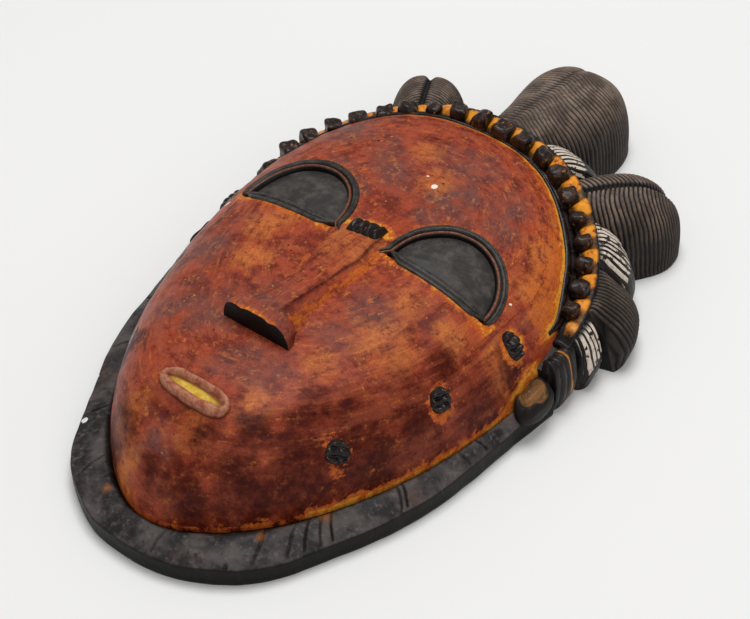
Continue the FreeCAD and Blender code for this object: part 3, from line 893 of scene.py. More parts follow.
def face_patch(name, node, side, mark, shape):
    """A small carved patch that lies on the face; shape gives its height from places in -1 to 1."""
    x, v, down, along, _, turn = mark
    cells, sunk = 0.4, 4.0
    rows, columns = int(along / cells), int(down / cells)
    p, q = np.meshgrid(np.linspace(-1, 1, columns), np.linspace(-1, 1, rows))
    # a square pulled in to a rounded outline, then turned on the face
    pull = 1 - 0.16 * p ** 2 * q ** 2 * 2
    flat_p, flat_q = p * down / 2 * pull, q * along / 2 * pull
    c, s = math.cos(math.radians(turn)), math.sin(math.radians(turn))
    middle = on_face(np.array([[arc_to(x, v, side)]]), np.array([[v]]), side)[0, 0]
    near = raised(np.array([side * x, side * x]), np.array([v, v]), np.array([0.0, 1.0]))
    normal = near[1] - near[0]
    up = np.array([0.0, 1.0, 0.0]) - normal * normal[1]
    up /= np.linalg.norm(up)
    out = np.cross(up, normal) * side
    ground = middle + (c * flat_p + s * flat_q)[..., None] * out
    ground = ground + (c * flat_q - s * flat_p)[..., None] * up
    # it follows the roundness of the face under it
    drop = 0.011 * (flat_p ** 2) + 0.004 * flat_q ** 2
    high = shape(p, q, ground) - drop
    skin = relief(ground + normal * high[..., None], ground - normal * sunk)
    piece(name, skin, "black", node)


def make_marks():
    """Three ridged marks on each cheek; those on the right are cut lower."""
    for side, word, proud, first in ((LEFT, "left", 1.0, 0), (RIGHT, "right", 0.2, 3)):
        for seed, (name, mark) in enumerate(MARKS.items(), first):
            def shape(p, q, ground, rows=mark[4], seed=seed, proud=proud):
                wander = 0.2 * lumps(ground, 4, 40 + seed)
                ridge = np.abs(np.sin((p + wander + 1) / 2 * rows * math.pi)) ** 0.8
                edge = (np.abs(p) ** 4 + np.abs(q) ** 4) ** 0.25
                edge = smooth(edge + 0.07 * lumps(ground, 3, 50 + seed), 1.0, 0.78)
                split = 1 - 0.65 * np.exp(-((q - 0.1 + wander) / 0.11) ** 2)
                knobs = 0.75 + 0.25 * lumps(ground, 2.2, 60 + seed)
                return -0.4 + (0.8 + 2.3 * ridge * split * knobs) * edge * proud
            face_patch("%s_%s_cut" % (name, word), "%s_%s" % (name, word), side, mark, shape)


def make_bridge_mark():
    """Four short ridges side by side between the brows."""
    rows, columns = 26, 70
    p, q = np.meshgrid(np.linspace(-1, 1, columns), np.linspace(-1, 1, rows))
    x = -0.8 + p * 7.4
    v = -14.4 + q * 4.5 + p * 1.2
    ground = np.stack([x, v, surface(x, v)], -1)
    wander = 0.12 * lumps(ground, 4, 61)
    ridge = np.abs(np.sin((p + wander + 1) / 2 * 4 * math.pi)) ** 0.9
    round_over = np.sqrt(np.clip(1 - np.abs(q) ** 2.4, 0, 1))
    round_over = round_over * np.sqrt(np.clip(1 - np.abs(p) ** 6, 0, 1))
    high = -1.0 + (3.3 + 1.7 * ridge) * round_over + 0.25 * lumps(ground, 2.2, 62)
    skin = relief(ground + (0, 0, 1) * high[..., None], ground - (0, 0, 3.0))
    piece("bridge_ridges", skin, "black", "bridge_mark")


# ---- eyes --------------------------------------------------------------------------------
def raised(x, v, high):
    """Points on the face at x and v, lifted by high along the face's normal."""
    step = 0.4
    slope_x = (surface(x + step, v) - surface(x - step, v)) / (2 * step)
    slope_v = (surface(x, v + step) - surface(x, v - step)) / (2 * step)
    normal = np.stack([-slope_x, -slope_v, np.ones_like(slope_x)], -1)
    normal /= np.linalg.norm(normal, axis=-1, keepdims=True)
    return np.stack([x, v, surface(x, v)], -1) + normal * high[..., None]


# across the brow: offsets outwards from the plate, and how high each stands
BROW_PROFILE = ((-0.1, -4.6), (-0.1, -1.6), (0.1, -0.3), (0.4, 0.45), (0.8, 0.7), (1.2, 0.5),
                (1.45, 0.05), (1.65, -0.2), (1.9, 0.25), (2.3, 0.95), (2.9, 1.3), (3.3, 1.15),
                (3.5, 1.0), (3.8, 1.15), (4.3, 1.1), (4.8, 0.6), (5.1, 0.0), (5.3, -1.0),
                (5.3, -4.6))


def make_eye(side, word):
    """A sunk half-moon plate, the brow that runs over it and the lid below it."""
    # the plate, as rings that shrink to a point on its middle
    rings, turns = 26, 96
    outline = [(EYE_HALF * math.cos(t), EYE_TALL * math.sin(t))
               for t in np.linspace(0, math.pi, turns)]
    outline = np.array(outline + [(x, 0.0) for x in np.linspace(-EYE_HALF, EYE_HALF, 50)[1:-1]])
    middle = np.array([0.0, 8.5])
    top, floor = [], []
    for share in np.linspace(1.02, 0.03, rings):
        plan = middle + (outline - middle) * share
        x, v = side * (EYE_X + plan[:, 0]), EYE_V + plan[:, 1]
        dome = 1.6 * max(0.0, 1 - share ** 2) ** 0.8 - EYE_SINK
        top.append(raised(x, v, np.full(len(x), dome)))
        floor.append(raised(x, v, np.full(len(x), -EYE_FLOOR)))
    top = np.array(top)
    top[..., 2] += 0.2 * lumps(top, 8, 71 if side == LEFT else 72) + 0.1 * lumps(top, 2.5, 70)
    skin = closed_rings(np.concatenate([np.array(floor)[::-1], top]))
    piece("eye_dish_" + word, skin, "eye", "eye_plate_" + word)

    # the brow
    profile = np.array(BROW_PROFILE)
    steps = 170
    turn = np.linspace(-0.06, math.pi + 0.24, steps)
    swell = 0.5 + 0.5 * np.sin(np.clip(turn, 0, math.pi)) ** 0.5
    swell *= smooth(turn, math.pi + 0.3, math.pi + 0.05) * 0.7 + 0.3
    rings = []
    for t, full in zip(turn, swell):
        out = profile[:, 0]
        wide = np.where(out > 1.6, 1.6 + (out - 1.6) * full, out)
        # past the plate's corner the brow runs on towards the nose
        tail = max(0.0, t - math.pi)
        x = EYE_X + (EYE_HALF + wide) * math.cos(min(t, math.pi)) - tail * 14
        v = EYE_V + (EYE_TALL + wide) * math.sin(min(t, math.pi)) - tail * 16
        high = np.where(profile[:, 1] > -0.3, profile[:, 1] * (0.45 + 0.55 * full), profile[:, 1])
        rings.append(raised(side * x, v, high))
    rings = np.array(rings)
    rings[..., 2] += 0.16 * lumps(rings, 4, 73 if side == LEFT else 74)
    skin = closed_rings(rings)
    offsets = np.tile(profile[:, 0], (steps, 1))
    red = smooth(offsets, 0.25, 0.5) * smooth(offsets, 1.5, 1.25)
    line = smooth(offsets, 1.3, 1.6) * smooth(offsets, 2.2, 1.8) + smooth(offsets, 0.3, 0.05)
    line = line + 0.6 * smooth(np.abs(offsets - 3.5), 0.3, 0.1)
    piece("brow_ridge_" + word, skin, "brow", "brow_" + word,
          {"red": with_ends(red), "line": with_ends(np.clip(line, 0, 1))})

    # the lid: two strips side by side below the plate
    columns, rows = 110, 22
    p, q = np.meshgrid(np.linspace(-1, 1, columns), np.linspace(0, 1, rows))
    taper = smooth(np.abs(p), 1.04, 0.7)
    x = side * (EYE_X + 0.5 + p * (EYE_HALF + 1.2))
    v = EYE_V + 0.4 - q * (1.2 + 4.2 * taper)
    strips = 0.75 * np.abs(np.sin(q * 2 * math.pi)) ** 0.6 - 0.35 + 0.85 * q
    ground = np.stack([x, v, surface(x, v)], -1)
    high = strips * (0.35 + 0.65 * taper) + 0.12 * lumps(ground, 4, 75)
    high = np.where(q > 0.98, -0.6, high)
    skin = relief(raised(x, v, high), raised(x, v, np.full_like(high, -EYE_FLOOR)))
    groove = smooth(np.abs(q - 0.5), 0.09, 0.03) + smooth(q, 0.06, 0.0)
    line = np.clip(np.concatenate([groove.ravel(), groove.ravel()]), 0, 1)
    piece("lower_lid_" + word, skin, "brow", "eyelid_" + word,
          {"red": np.zeros_like(line), "line": line})


# ---- mouth -------------------------------------------------------------------------------
def make_mouth():
    """A raised ring of lips round a mustard slot."""
    turns, around = 120, 22
    rings = []
    mid_half, mid_thick = LIP_HALF - 1.6, LIP_THICK - 1.75
    for t in np.linspace(0, 2 * math.pi, turns, endpoint=False):
        c, s = math.cos(t), math.sin(t)
        x0 = mid_half * math.copysign(abs(c) ** 0.8, c)
        v0 = LIP_V + mid_thick * math.copysign(abs(s) ** 0.8, s)
        out = Vector((c / mid_half, s / mid_thick)).normalized()
        ring = []
        for a in np.linspace(0, 2 * math.pi, around, endpoint=False):
            below = max(0.0, -s)
            wide = (1.55 + 0.6 * below) * math.cos(a) + 0.3 * math.sin(a) - 0.4 * below + 0.25 * c
            rise = math.sin(a)
            tall = 0.3 + 3.2 * rise ** 0.8 if rise > 0 else 2.5 * rise
            x, v = x0 + out[0] * wide, v0 + out[1] * wide
            ring.append((x, v, float(surface(x, v)) + tall))
        rings.append(ring)
    rings = np.array(rings)
    rings += 0.4 * np.stack([lumps(rings, 4.5, 80 + k) for k in range(3)], -1)
    x, v, z = rings.reshape(-1, 3).T
    # the last ring joins the first
    faces = [tuple(f[::-1]) for f in ring_faces(turns + 1, around) % (turns * around)]
    piece("lips_ring", (rings.reshape(-1, 3), faces), "lip", "lips",
          {"cut": smooth(z - surface(x, v), 1.6, 0.2)})

    turn = np.linspace(0, 2 * math.pi, 72, endpoint=False)
    c, s = np.cos(turn), np.sin(turn)
    floor = [(share, -2.0) for share in np.linspace(0.03, 1.0, 10)]
    top = [(share, 1.1 + 0.5 * share ** 2) for share in np.linspace(1.0, 0.03, 12)]
    rings = []
    for share, high in floor + top:
        x = (SLOT_HALF + 0.4) * share * np.sign(c) * np.abs(c) ** 0.8
        v = LIP_V + (SLOT_THICK + 0.4) * share * np.sign(s) * np.abs(s) ** 0.8
        rings.append(np.stack([x, v, surface(x, v) + high], 1))
    rings = np.array(rings)
    rings[..., 2] += 0.2 * lumps(rings, 4, 84)
    skin = closed_rings(rings)
    x, v, _ = skin[0].T
    edge = np.hypot(x / SLOT_HALF, (v - LIP_V) / (0.62 * SLOT_THICK))
    piece("mouth_slot", skin, "mouth", "mouth_inlay",
          {"cut": np.maximum(smooth(edge, 0.6, 1.0), 0.7 * smooth(x, -6.0, -12.0))})


# ---- collar and ears ---------------------------------------------------------------------
COLLAR_LEFT = ((89.2, 0), (86, -27), (82.6, -56), (75, -92), (62.6, -119), (49.2, -142.7),
               (34, -155.5), (17, -163))
COLLAR_RIGHT = ((91.5, 0), (88, -27), (83, -55), (74, -91), (60.8, -118), (47.7, -142), (33, -155),
                (17, -163))
# radial knife marks: how far round the rim from the left end, and how deep
GOUGES = ((0.10, 0.8), (0.125, 0.6), (0.205, 1.0), (0.212, 0.8), (0.29, 0.9), (0.302, 0.7),
          (0.318, 0.8), (0.335, 0.5), (0.37, 0.6), (0.47, 0.5), (0.60, 0.6), (0.68, 0.7),
          (0.78, 0.6), (0.86, 0.7))
RIM_LENGTH = 480.0
# x, v, radius: orange drips beside the face, pale chips on the far rim, and a pinhole by the chin
DRIPS = ((54, -112, 4.0), (41, -134, 3.0), (-20, -151, 3.0))
RIM_CHIPS = ((-52.7, -129.5, 2.0), (-66, -108, 0.9), (-69, -103, 0.7))
PINHOLE = (38.2, -151.0)


def rim_line(steps):
    """Points along the rim's foot, from the hair's end on the left round the chin to the right."""
    right = [(-x, v) for x, v in reversed(COLLAR_RIGHT)]
    line = through(list(COLLAR_LEFT) + [(0, -CHIN_REACH)] + right, steps)
    # past the hair's end the rim goes on under it
    return evenly(line[line[:, 1] <= HAIR_END_V], steps)


def way_to_wall(start, toward):
    """The share of the way toward the face's middle at which the face is as high as the collar."""
    t = np.linspace(0, 0.6, 240)
    inside = surface(start[0] + toward[0] * t, start[1] + toward[1] * t) > COLLAR_HIGH
    return t[np.argmax(inside)] if inside.any() else 0.2


def gouge_depth(share, s):
    """How deep the knife marks are, at a share of the way round the rim and s of the way in."""
    deepest = 0.0
    for where, deep in GOUGES:
        near = (share - where - 0.0016 * math.sin(s * 4 + where * 40)) * RIM_LENGTH
        deepest = max(deepest, deep * math.exp(-(near / 0.6) ** 2) * smooth(s, 1.05, 0.6))
    return deepest


def make_collar():
    """The low rim: a steep outer wall, a sharp uneven edge and a top that slopes up to the face."""
    steps = 1100
    line = rim_line(steps)
    place = np.concatenate([line, np.zeros((steps, 1))], 1)
    facets = layered(place, (0.45, 19, 90), (0.16, 6, 91))
    hem = COLLAR_EDGE_HIGH + layered(place, (0.7, 30, 92), (0.35, 9, 93))
    inward = np.stack([-np.gradient(line[:, 1]), np.gradient(line[:, 0])], 1)
    inward /= np.linalg.norm(inward, axis=1, keepdims=True)
    inward *= np.where((((0, -60.0) - line) * inward).sum(1) > 0, 1, -1)[:, None]
    middle = np.array([0.0, -40.0])
    rings, cuts_and_shade = [], []
    for spot, facet, edge, step, share in zip(line, facets, hem, inward, np.linspace(0, 1, steps)):
        # the outer wall
        wall = [(0.4, 0.0), (0.1, 1.2)] + [(0.0, z) for z in np.linspace(2.2, edge - 1.0, 8)]
        wall += [(0.05, edge - 0.25), (0.25, edge + 0.05), (0.7, edge + 0.3)]
        ring = [(*(spot + step * (inset - facet)), z) for inset, z in wall]
        # painted shade: the outer wall below its edge is painted near-black
        cut = [0.93 * smooth(z, edge + 0.2, edge - 0.4) for _, z in wall]
        # the top, up to its inner edge, which is hidden in the face's wall
        toward = middle - spot
        start = np.array(ring[-1])
        end = np.array([*(spot + toward * way_to_wall(spot, toward)), COLLAR_HIGH - 0.4])
        for s in np.linspace(0.1, 1.0, 20):
            point = start + (end - start) * s
            scar = gouge_depth(share, s)
            point[2] += 0.9 * math.sin(math.pi * s) - 2.2 * smooth(s, 0.8, 1.0) - 1.2 * scar
            ring.append(point)
            # painted shadow in the crease beside the face, and the dark knife marks
            cut.append(max(0.92 * smooth(s, 0.76, 0.96), min(1.0, 1.15 * scar)))
        tuck = end[:2] + toward / np.linalg.norm(toward) * 3.5
        rings.append(ring + [(*tuck, COLLAR_HIGH - 3), (*tuck, 0.0)])
        cuts_and_shade.append(cut + [1.0, 1.0])
    rings, cuts_and_shade = np.array(rings, float), np.array(cuts_and_shade, float)
    above_foot = rings[..., 2] > 1.5
    rings[..., 2] += above_foot * layered(rings, (0.22, 7, 94), (0.12, 2.6, 95))
    x, v, z = (rings[..., k] for k in range(3))
    hole = np.hypot(x - PINHOLE[0], v - PINHOLE[1])
    cuts_and_shade = np.maximum(cuts_and_shade, smooth(hole, 1.5, 0.7))
    z -= 1.2 * smooth(hole, 1.4, 0.5) * above_foot
    drips, chips = np.zeros_like(cuts_and_shade), np.zeros_like(cuts_and_shade)
    for place_x, place_v, radius in DRIPS:
        near = np.hypot(x - place_x, v - place_v)
        drips = np.maximum(drips, 0.6 * smooth(near, radius, 0.0))
    for place_x, place_v, radius in RIM_CHIPS:
        near = np.hypot(x - place_x, v - place_v)
        chips = np.maximum(chips, smooth(near, radius, radius * 0.4) * (z > COLLAR_EDGE_HIGH - 1.5))
    piece("collar_rim", closed_rings(rings), "collar", "collar",
          {"cut": with_ends(cuts_and_shade), "drip": with_ends(drips), "chip": with_ends(chips)})


def lump_skin(half, power, rows, around, seed, rough):
    """A rounded block centred on zero: half sizes, how boxy it is, and how uneven."""
    polar = np.linspace(0, math.pi, rows + 2)[1:-1, None]
    turn = np.linspace(0, 2 * math.pi, around, endpoint=False)[None, :]
    way = np.stack([np.sin(polar) * np.cos(turn), np.sin(polar) * np.sin(turn),
                    np.cos(polar) * np.ones_like(turn)], -1)
    size = (np.abs(way) ** power).sum(-1, keepdims=True) ** (-1 / power)
    skin = way * size * np.array(half)
    return skin * (1 + rough * lumps(way * 10, 7, seed)[..., None])


def make_ear(side, word):
    """A small worn ear at the end of the hair."""
    low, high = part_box("ear_" + word)
    middle = (np.array(low) + np.array(high)) / 2 / MM - (0, HEAD_Y, 0)
    half = (np.array(high) - np.array(low)) / 2 / MM
    rings = lump_skin((half[0] + 0.6, half[1] + 0.4, half[2] + 0.8), 2.8, 40, 56, 100 + side, 0.1)

    def from_hollow(points):
        """Distance from the middle of the ear's hollow, which is 1 near its rim."""
        across, up = side * points[..., 0] + 1.0, points[..., 1] - 1.0
        return np.hypot(up / (half[1] * 0.86), across / half[0])

    out = side * rings[..., 0] / half[0]
    above = smooth(rings[..., 2], -half[2] * 0.5, half[2])
    rings[..., 2] -= above * (0.3 + 0.3 * np.clip(out, -1, 1)) * half[2]
    rings[..., 2] -= above * 1.3 * np.exp(-((from_hollow(rings) - 0.86) / 0.13) ** 2)
    rings[..., 2] += above * layered(rings, (0.9, 5, 103), (0.5, 2.5, 104))
    points, faces = closed_rings(rings[::-1])
    patch = from_hollow(points) + 0.3 * lumps(points, 3.5, 105)
    # the mask darkens the ring round the hollow and the ear's lower half, and on the right the ear
    # nearly all over
    cut = np.maximum(smooth(patch, 0.8, 1.0), smooth(points[:, 2], 0, -2))
    cut = np.clip(cut + (0.7 if side == RIGHT else 0.0), 0, 1)
    piece("ear_lobe_" + word, (points + middle, faces), "ear", "ear_" + word,
          {"cut": cut})


# ---- band and beads ----------------------------------------------------------------------
def strip_inward(angle):
    """How much further in the black strip lies on the left."""
    return 3.4 * smooth(angle, 0.3, 0.95) * smooth(angle, 1.6, 1.2)


def oval_point(angle, halves, offset):
    """The place on an oval at an angle from the crown, moved outwards by offset."""
    return (halves[0] + offset) * np.sin(angle), BEAD_V + (halves[1] + offset) * np.cos(angle)


# across the black strip: offsets outwards, and how high each stands
STRIP_PROFILE = ((0.0, -2.5), (0.0, 0.0), (0.25, 0.75), (0.7, 1.15), (1.05, 0.7), (1.25, 0.25),
                 (1.5, 0.7), (1.9, 1.35), (2.35, 1.2), (2.6, 0.6), (2.6, -2.5))


def make_band():
    """The orange band, rising in lumps between the beads, and the black strip inside it."""
    steps, columns = 900, 18
    angles = np.linspace(-math.radians(BAND_SPAN), math.radians(BAND_SPAN), steps)
    width = np.linspace(0, 1, columns)
    half_x = BAND_IN[0] + (BAND_OUT[0] - BAND_IN[0]) * width
    half_v = BAND_IN[1] + (BAND_OUT[1] - BAND_IN[1]) * width
    rng = np.random.default_rng(3)
    showing = rng.uniform(0.3, 1.0, BEADS + 2)
    spacing = math.radians(2 * BEAD_SPAN / (BEADS - 1))
    phase = (angles + math.radians(BEAD_SPAN)) / spacing
    between = np.sin(math.pi * phase) ** 2
    rings, stains = [], []
    for angle, lump, step in zip(angles, between, phase):
        # on the left the band reaches out to the buns
        spread = 1 + 0.033 * width * float(smooth(angle, 0.1, 0.7))
        x, v = half_x * np.sin(angle) * spread, BEAD_V + half_v * np.cos(angle) * spread
        full = lump ** 1.2 * showing[int(np.clip(step + 1, 0, BEADS + 1))]
        rise = full * (0.4 + 3.4 * np.sin(math.pi * np.clip(width * 0.8 + 0.1, 0, 1)) ** 1.5)
        rise = rise - 2.5 * float(smooth(abs(math.degrees(angle)), BAND_SPAN - 5, BAND_SPAN))
        z = bead_height(x, v) - BAND_TOP + rise
        low = bead_height(x[::-1], v[::-1]) - BAND_TOP - BAND_THICK
        ring = np.stack([np.concatenate([x, x[::-1]]), np.concatenate([v, v[::-1]]),
                         np.concatenate([z, low])], 1)
        rings.append(ring)
        stain = 0.9 * smooth(width, 0.36, 0.14) + 0.9 * smooth(width, 0.85, 1.0)
        stain += 0.8 * smooth(full, 0.4, 0.1)
        stain += smooth(abs(math.degrees(angle)), BAND_SPAN - 4, BAND_SPAN - 1)
        stains.append(np.concatenate([stain, np.ones(columns)]))
    rings = np.array(rings)
    upper = np.zeros(2 * columns)
    upper[:columns] = 1
    rings[..., 2] += upper * layered(rings, (0.35, 3.2, 110), (0.15, 1.4, 111))
    skin = closed_rings(rings)
    piece("band_ring", skin, "band", "headband",
          {"stain": with_ends(np.clip(np.array(stains), 0, 1))})

    wide, tall = np.array(STRIP_PROFILE).T
    rings = []
    for angle in angles:
        inward = float(strip_inward(angle))
        tail = float(smooth(angles[-1] - abs(angle), 0.0, 0.2))
        offsets = wide * (1 + 0.25 * inward) * (0.3 + 0.7 * tail) - inward
        x, v = oval_point(angle, STRIP_IN, offsets)
        rings.append(raised(x, v, np.where(tall > -1, tall * (0.45 + 0.55 * tail), tall)))
    rings = np.array(rings)
    rings[..., 2] += 0.15 * lumps(rings, 5, 112)
    skin = closed_rings(rings)
    piece("hairline_cord", skin, "black", "hairline_strip")


def make_beads():
    """Twenty hand-cut knobs, no two alike."""
    rng = np.random.default_rng(11)
    for number in range(BEADS):
        angle = math.radians(-BEAD_SPAN + number * 2 * BEAD_SPAN / (BEADS - 1))
        # those on the left are smaller and lie further out
        left = float(smooth(angle, 0.2, 1.0))
        x, v = oval_point(angle, (BEAD_HALF_X, BEAD_HALF_V), rng.uniform(-0.7, 0.3) + 1.5 * left)
        half = np.array([4.0, 4.2, 4.5]) * rng.uniform(0.88, 1.14, 3) * (1 - 0.22 * left)
        rings = lump_skin(half, rng.uniform(2.6, 6.5), 30, 42, 120 + number, 0.17)
        tilt = rng.uniform(-0.22, 0.22)
        turn = -angle + rng.uniform(-0.2, 0.2)
        c, s = math.cos(turn), math.sin(turn)
        flat, up = rings[..., 0], rings[..., 1]
        rings = np.stack([c * flat - s * up, s * flat + c * up, rings[..., 2] + tilt * flat], -1)
        rings[..., 2] += 0.25 * lumps(rings, 2.2, 150 + number)
        z = bead_height(x, v) - 0.6 + rng.uniform(-0.5, 0.4) + 1.3 * smooth(x, 30, -50)
        node = "bead_%02d" % (number + 1)
        piece(node + "_knob", closed_rings(rings[::-1] + (x, v, z)), "bead", node)


# ---- hair --------------------------------------------------------------------------------
CROWN_BUN = ((75, 17.0, 46), (90, 19, 46), (112, 23, 44), (135, 27, 42), (150, 25.5, 38),
             (160, 20, 31), (166, 12, 22), (CROWN_REACH, 4, 10))
CROWN_TURN = 0.4
LEFT_BUN = ((74, 16.5, 43), (88, 18.5, 41), (104, 20.5, 39), (120, 20.5, 34), (130.5, 14.5, 25),
            (136.5, 5, 10))
RIGHT_BUN = ((74, 15.0, 46), (88, 16.5, 45), (103, 18, 43), (118, 18, 38), (128, 13, 27),
             (134, 4, 10))
SIDES = {"left": (LEFT, LEFT_BUN, 31.5, 1.0, 1.0), "right": (RIGHT, RIGHT_BUN, 27.5, 0.6, 0.85)}
RIDGE_PITCH, RIDGE_DEEP = 2.3, 1.3             # of the buns
RING_PITCH, RING_DEEP = 3.6, 1.1               # of the lock beside the ear
GROOVE_PITCH, GROOVE_DEEP = 3.4, 0.25          # of the striped rolls
ROLL_STEP = 0.36                               # between a roll's cross-sections


def make_bun(name, node, stations, turn, side, rows, seed):
    """A fat tongue of hair with a parting along it and ridges across it."""
    line = through(stations, rows)
    reach, _, high = line.T
    length = np.concatenate([[0], np.cumsum(np.hypot(np.diff(reach), np.diff(high)))])
    columns, under = 110, 16
    c = np.cos(np.linspace(math.pi, 0, 700))
    rings = []
    for r, w, top in line:
        arch = np.stack([w * c, np.full_like(c, r), top * (1 - np.abs(c) ** 2.8) ** (1 / 2.3)], 1)
        arch = evenly(arch, columns)
        base = np.linspace([w, r, 0], [-w, r, 0], under + 2)[1:-1]
        rings.append(np.vstack([arch, base]))
    rings = np.array(rings)
    normal = outward_normals(rings, (0, reach.mean(), 12))
    # how much the hair faces up, which the paint uses for painted shade on its sides and undersides
    up = np.clip(normal[..., 2], 0, 1)
    upper = np.zeros(columns + under)
    upper[:columns] = 1
    across = rings[..., 0]
    tip = smooth(reach, stations[-1][0] - 22, stations[-1][0] - 2)[:, None]
    crown = node == "bun_crown"
    parting = across + (3.0 if crown else 0.0)
    crease = np.exp(-(parting / (1.3 + 1.4 * tip)) ** 2) * (rings[..., 2] > 6)
    lean = np.where(across > 0, 0.55, 0.2) * np.abs(across) * smooth(np.abs(across), 26, 4)
    wander = 0.75 * lumps(rings, 14, seed) + 0.4 * lumps(rings, 5, seed + 1)
    phase = (length[:, None] + lean + wander) / RIDGE_PITCH
    ridge = np.abs(np.sin(math.pi * phase)) ** 0.75
    foot = smooth(rings[..., 2], 0.5, 3.0)
    uneven = 0.5 * lumps(rings, 18, seed + 2)
    move = (ridge - 1) * RIDGE_DEEP * (0.7 + 0.45 * lumps(rings, 7, seed + 3)) * foot
    parted = 0.45 if crown else 1.8
    move = move * (0.75 if crown else 1.0)
    move += uneven * foot - crease * (parted + (3.0 if side == LEFT and not crown else 1.2) * tip)
    rings = rings + normal * (move * upper)[..., None]
    rings[..., 2] = np.maximum(rings[..., 2], 0)
    pole = rings[-1].mean(0)
    rings[-1] = pole + (rings[-1] - pole) * 0.6
    a = math.radians(turn)
    x = side * (rings[..., 0] * math.cos(a) + rings[..., 1] * math.sin(a))
    v = rings[..., 1] * math.cos(a) - rings[..., 0] * math.sin(a)
    rings = np.stack([x, v, rings[..., 2]], -1)
    skin = closed_rings(rings)
    mask = np.clip(ridge * (1 - crease * min(1.0, parted)) * upper, 0, 1)
    if crown:
        mask = 0.3 + 0.7 * mask
    piece(name, skin, "hair", node, {"ridge": with_ends(mask), "up": with_ends(up)})


def make_roll(name, node, side, paint, start, end, reach, high, kind, seed):
    """A roll of hair outside the band, between two angles: striped, ridged or ringed."""
    steps = max(24, int(math.radians(end - start) * reach / ROLL_STEP))
    columns, under = 66, 10
    share = np.linspace(0, 1, steps)
    bulge = 1 - 0.1 * np.abs(2 * share - 1) ** 3.5
    rings, alongs = [], []
    for part, full in zip(share, bulge):
        angle = math.radians(start + (end - start) * part)
        inner = float(oval_reach(angle, BAND_OUT)) - 0.5
        far = reach * (0.965 + 0.035 * (full - 0.9) * 10)
        peak = max(HAIR_CREST, inner + 2) + 0.35 * (far - HAIR_CREST)
        profile = through([(inner, high), ((inner + peak) / 2, high * 1.03),
                           (peak, high * 0.97 * full),
                           (peak + 0.62 * (far - peak), high * 0.74 * full),
                           (far, high * 0.42 * full), (far - 0.6, high * 0.2),
                           (far - 2.5, 0)], columns)
        base = np.linspace([far - 2.5, 0], [inner, 0], under + 2)[1:-1]
        ring = np.vstack([profile, base])
        out, up = ring.T
        rings.append(np.stack([out * math.sin(angle), out * math.cos(angle), up], 1))
        alongs.append(np.concatenate([[0], np.cumsum(np.hypot(*np.diff(ring, axis=0).T))]))
    rings, alongs = np.array(rings), np.array(alongs)
    turn = math.radians((start + end) / 2)
    core = np.array([math.sin(turn), math.cos(turn), 0]) * (HAIR_CREST + 4) + (0, 0, 8)
    normal = outward_normals(rings, core)
    # how much the roll faces up, which the hair paint uses for painted shade on its sides and
    # undersides
    up = np.clip(normal[..., 2], 0, 1)
    upper = np.zeros(columns + under)
    upper[:columns] = 1
    across = (share[:, None] * math.radians(end - start) * reach) * np.ones(columns + under)
    foot = smooth(rings[..., 2], 0.4, 3.0) * upper
    ridge = np.ones_like(across)
    move = 0.4 * lumps(rings, 12, seed)
    if kind == "ridged":
        # painted shade: the lower bun is darker all over, as if in the upper bun's shadow
        up = up * 0.45
        wander = 0.5 * lumps(rings, 12, seed + 1)
        ridge = np.abs(np.sin(math.pi * (across + wander + 0.1 * alongs) / RIDGE_PITCH)) ** 0.75
        move = move + (ridge - 1) * RIDGE_DEEP
    if kind == "ringed":
        wander = 0.6 * lumps(rings, 9, seed + 1)
        ridge = np.abs(np.sin(math.pi * (across + wander) / RING_PITCH)) ** 0.5
        move = move + (ridge - 1) * RING_DEEP
    if kind == "striped":
        move = move - GROOVE_DEEP * np.abs(np.sin(math.pi * across / GROOVE_PITCH)) ** 6
    edge = smooth(np.minimum(share, 1 - share), 0.0, 0.1)[:, None]
    move = move - 1.1 * (1 - edge)
    rings = rings + normal * (move * foot)[..., None]
    rings[..., 0] *= side
    skin = closed_rings(rings)
    line = smooth(np.abs(across - 0.42 * across.max()), 1.0, 0.5)
    striped = np.ones_like(across) * upper
    striped[[0, -1]] = 0
    masks = {"ridge": ridge * upper, "across": across, "along": alongs, "striped": striped,
             "line": line * upper, "up": up}
    piece(name, skin, paint, node, {key: with_ends(value) for key, value in masks.items()})


def make_hair():
    """Five buns, the striped rolls between them and a lock beside each ear."""
    make_bun("crown_bun_hair", "bun_crown", CROWN_BUN, CROWN_TURN, LEFT, 300, 200)
    for seed, (word, (side, stations, turn, rise, lock_rise)) in enumerate(SIDES.items()):
        base = 220 + 40 * seed
        make_bun("upper_bun_hair_" + word, "bun_upper_" + word, stations, turn, side, 190, base)
        # piece, node, paint, first and last angle, reach, height, kind
        rolls = (
            ("wrap_a_roll", "striped_wrap_a", "wrap", 8.0, turn - 8.0, 113.0, 42.0, "striped"),
            ("wrap_b_roll", "striped_wrap_b", "wrap", turn + 8.0, 57.0, 104.0, 35 * rise,
             "striped"),
            ("lower_bun_hair", "bun_lower", "hair", 57.0, 74.0, 105.0, 31 * rise, "ridged"),
            ("wrap_c_roll", "striped_wrap_c", "wrap", 74.0, 84.0, 94.5, 28 * rise, "striped"),
            ("side_lock_rings", "side_lock", "lock", 84.0, 95.5, 90.5, 25 * lock_rise, "ringed"),
        )
        for k, (name, node, *rest) in enumerate(rolls, 1):
            make_roll(name + "_" + word, node + "_" + word, side, *rest, base + 5 * k)


# ---- scene -------------------------------------------------------------------------------
FLOOR_HALF = 3.0                               # metres
SKY_COLOUR, SKY_STRENGTH = (1.0, 0.995, 0.985, 1), 0.405
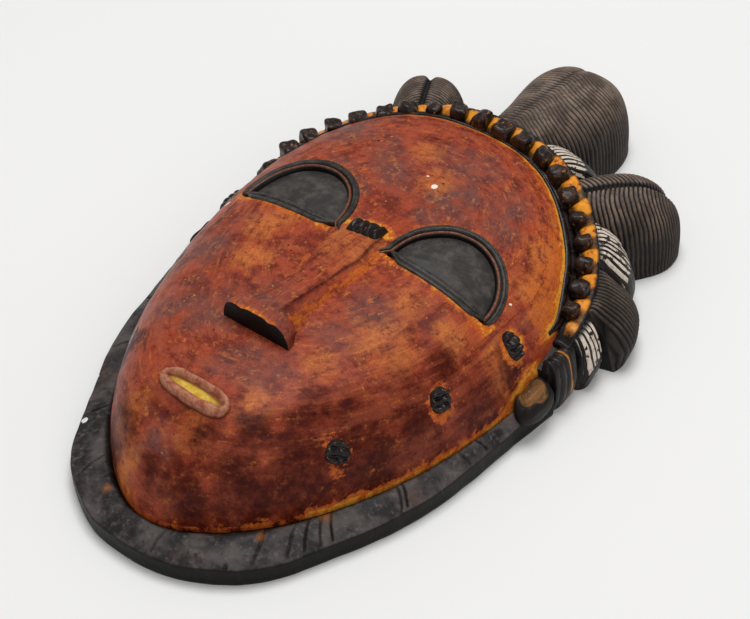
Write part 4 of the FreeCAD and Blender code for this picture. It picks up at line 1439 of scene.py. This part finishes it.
# name, place in metres, width, power in watts
LAMPS = (("key", (-0.12, 0.22, 1.42), 0.8, 12.3), ("fill", (0.75, -0.62, 0.75), 1.0, 2.2))
CAMERA_TARGET = (13.04, -28.54, 30.0)          # millimetres
CAMERA_AZIMUTH, CAMERA_ELEVATION = 37.09, 44.0 # degrees
CAMERA_AWAY = 0.7245                           # metres
CAMERA_LENS, CAMERA_SENSOR = 86.4, 36.0        # millimetres


def set_paint(node, material):
    """A CAD node that stays gets a procedural paint."""
    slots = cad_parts[node].data.materials
    slots.clear()
    slots.append(material)


def make_stage():
    """A pale floor, a soft sky and a large soft lamp high on the face's right."""
    mesh = bpy.data.meshes.new("floor")
    corners = ((-1, -1), (1, -1), (1, 1), (-1, 1))
    mesh.from_pydata([(x * FLOOR_HALF, y * FLOOR_HALF, CAD_BOX[0][2]) for x, y in corners], [],
                     [(0, 1, 2, 3)])
    floor = bpy.data.objects.new("floor", mesh)
    bpy.context.scene.collection.objects.link(floor)
    p = Paint("floor_paint", specular=0.2)
    p.base(p.noise(300, 2), "f3f3f2", "efefee")
    mesh.materials.append(p.done(0.7))

    world = bpy.data.worlds.new("studio")
    world.use_nodes = True
    sky = world.node_tree.nodes["Background"]
    sky.inputs["Color"].default_value = SKY_COLOUR
    sky.inputs["Strength"].default_value = SKY_STRENGTH
    bpy.context.scene.world = world

    for name, place, size, power in LAMPS:
        light = bpy.data.lights.new(name, "AREA")
        light.shape = "DISK"
        light.size = size
        light.energy = power
        lamp = bpy.data.objects.new(name, light)
        lamp.location = place
        lamp.rotation_euler = (Vector(place) * -1).to_track_quat("-Z", "Y").to_euler()
        bpy.context.scene.collection.objects.link(lamp)


def plain_tones():
    """Colours are shown as they are lit, with no film look."""
    bpy.context.scene.view_settings.view_transform = "Standard"


def make_camera():
    """The camera looks down on the mask from below its chin, a little to its left."""
    azimuth, elevation = math.radians(CAMERA_AZIMUTH), math.radians(CAMERA_ELEVATION)
    level = math.cos(elevation)
    back = Vector((math.sin(azimuth) * level, -math.cos(azimuth) * level, math.sin(elevation)))
    data = bpy.data.cameras.new("camera")
    data.lens = CAMERA_LENS
    data.sensor_width = CAMERA_SENSOR
    camera = bpy.data.objects.new("camera", data)
    camera.location = Vector(CAMERA_TARGET) * MM + back * CAMERA_AWAY
    camera.rotation_euler = (-back).to_track_quat("-Z", "Y").to_euler()
    bpy.context.scene.collection.objects.link(camera)
    bpy.context.scene.camera = camera


plain_tones()
make_camera()
make_stage()
make_face()
make_nose()
make_marks()
make_bridge_mark()
for eye_side, eye_word in ((LEFT, "left"), (RIGHT, "right")):
    make_eye(eye_side, eye_word)
    make_ear(eye_side, eye_word)
make_mouth()
make_collar()
make_band()
make_beads()
make_hair()
set_paint("hair_cap", dark_paint("hair_cap_paint", "141112", "2e2826", 0.4, 6.0))
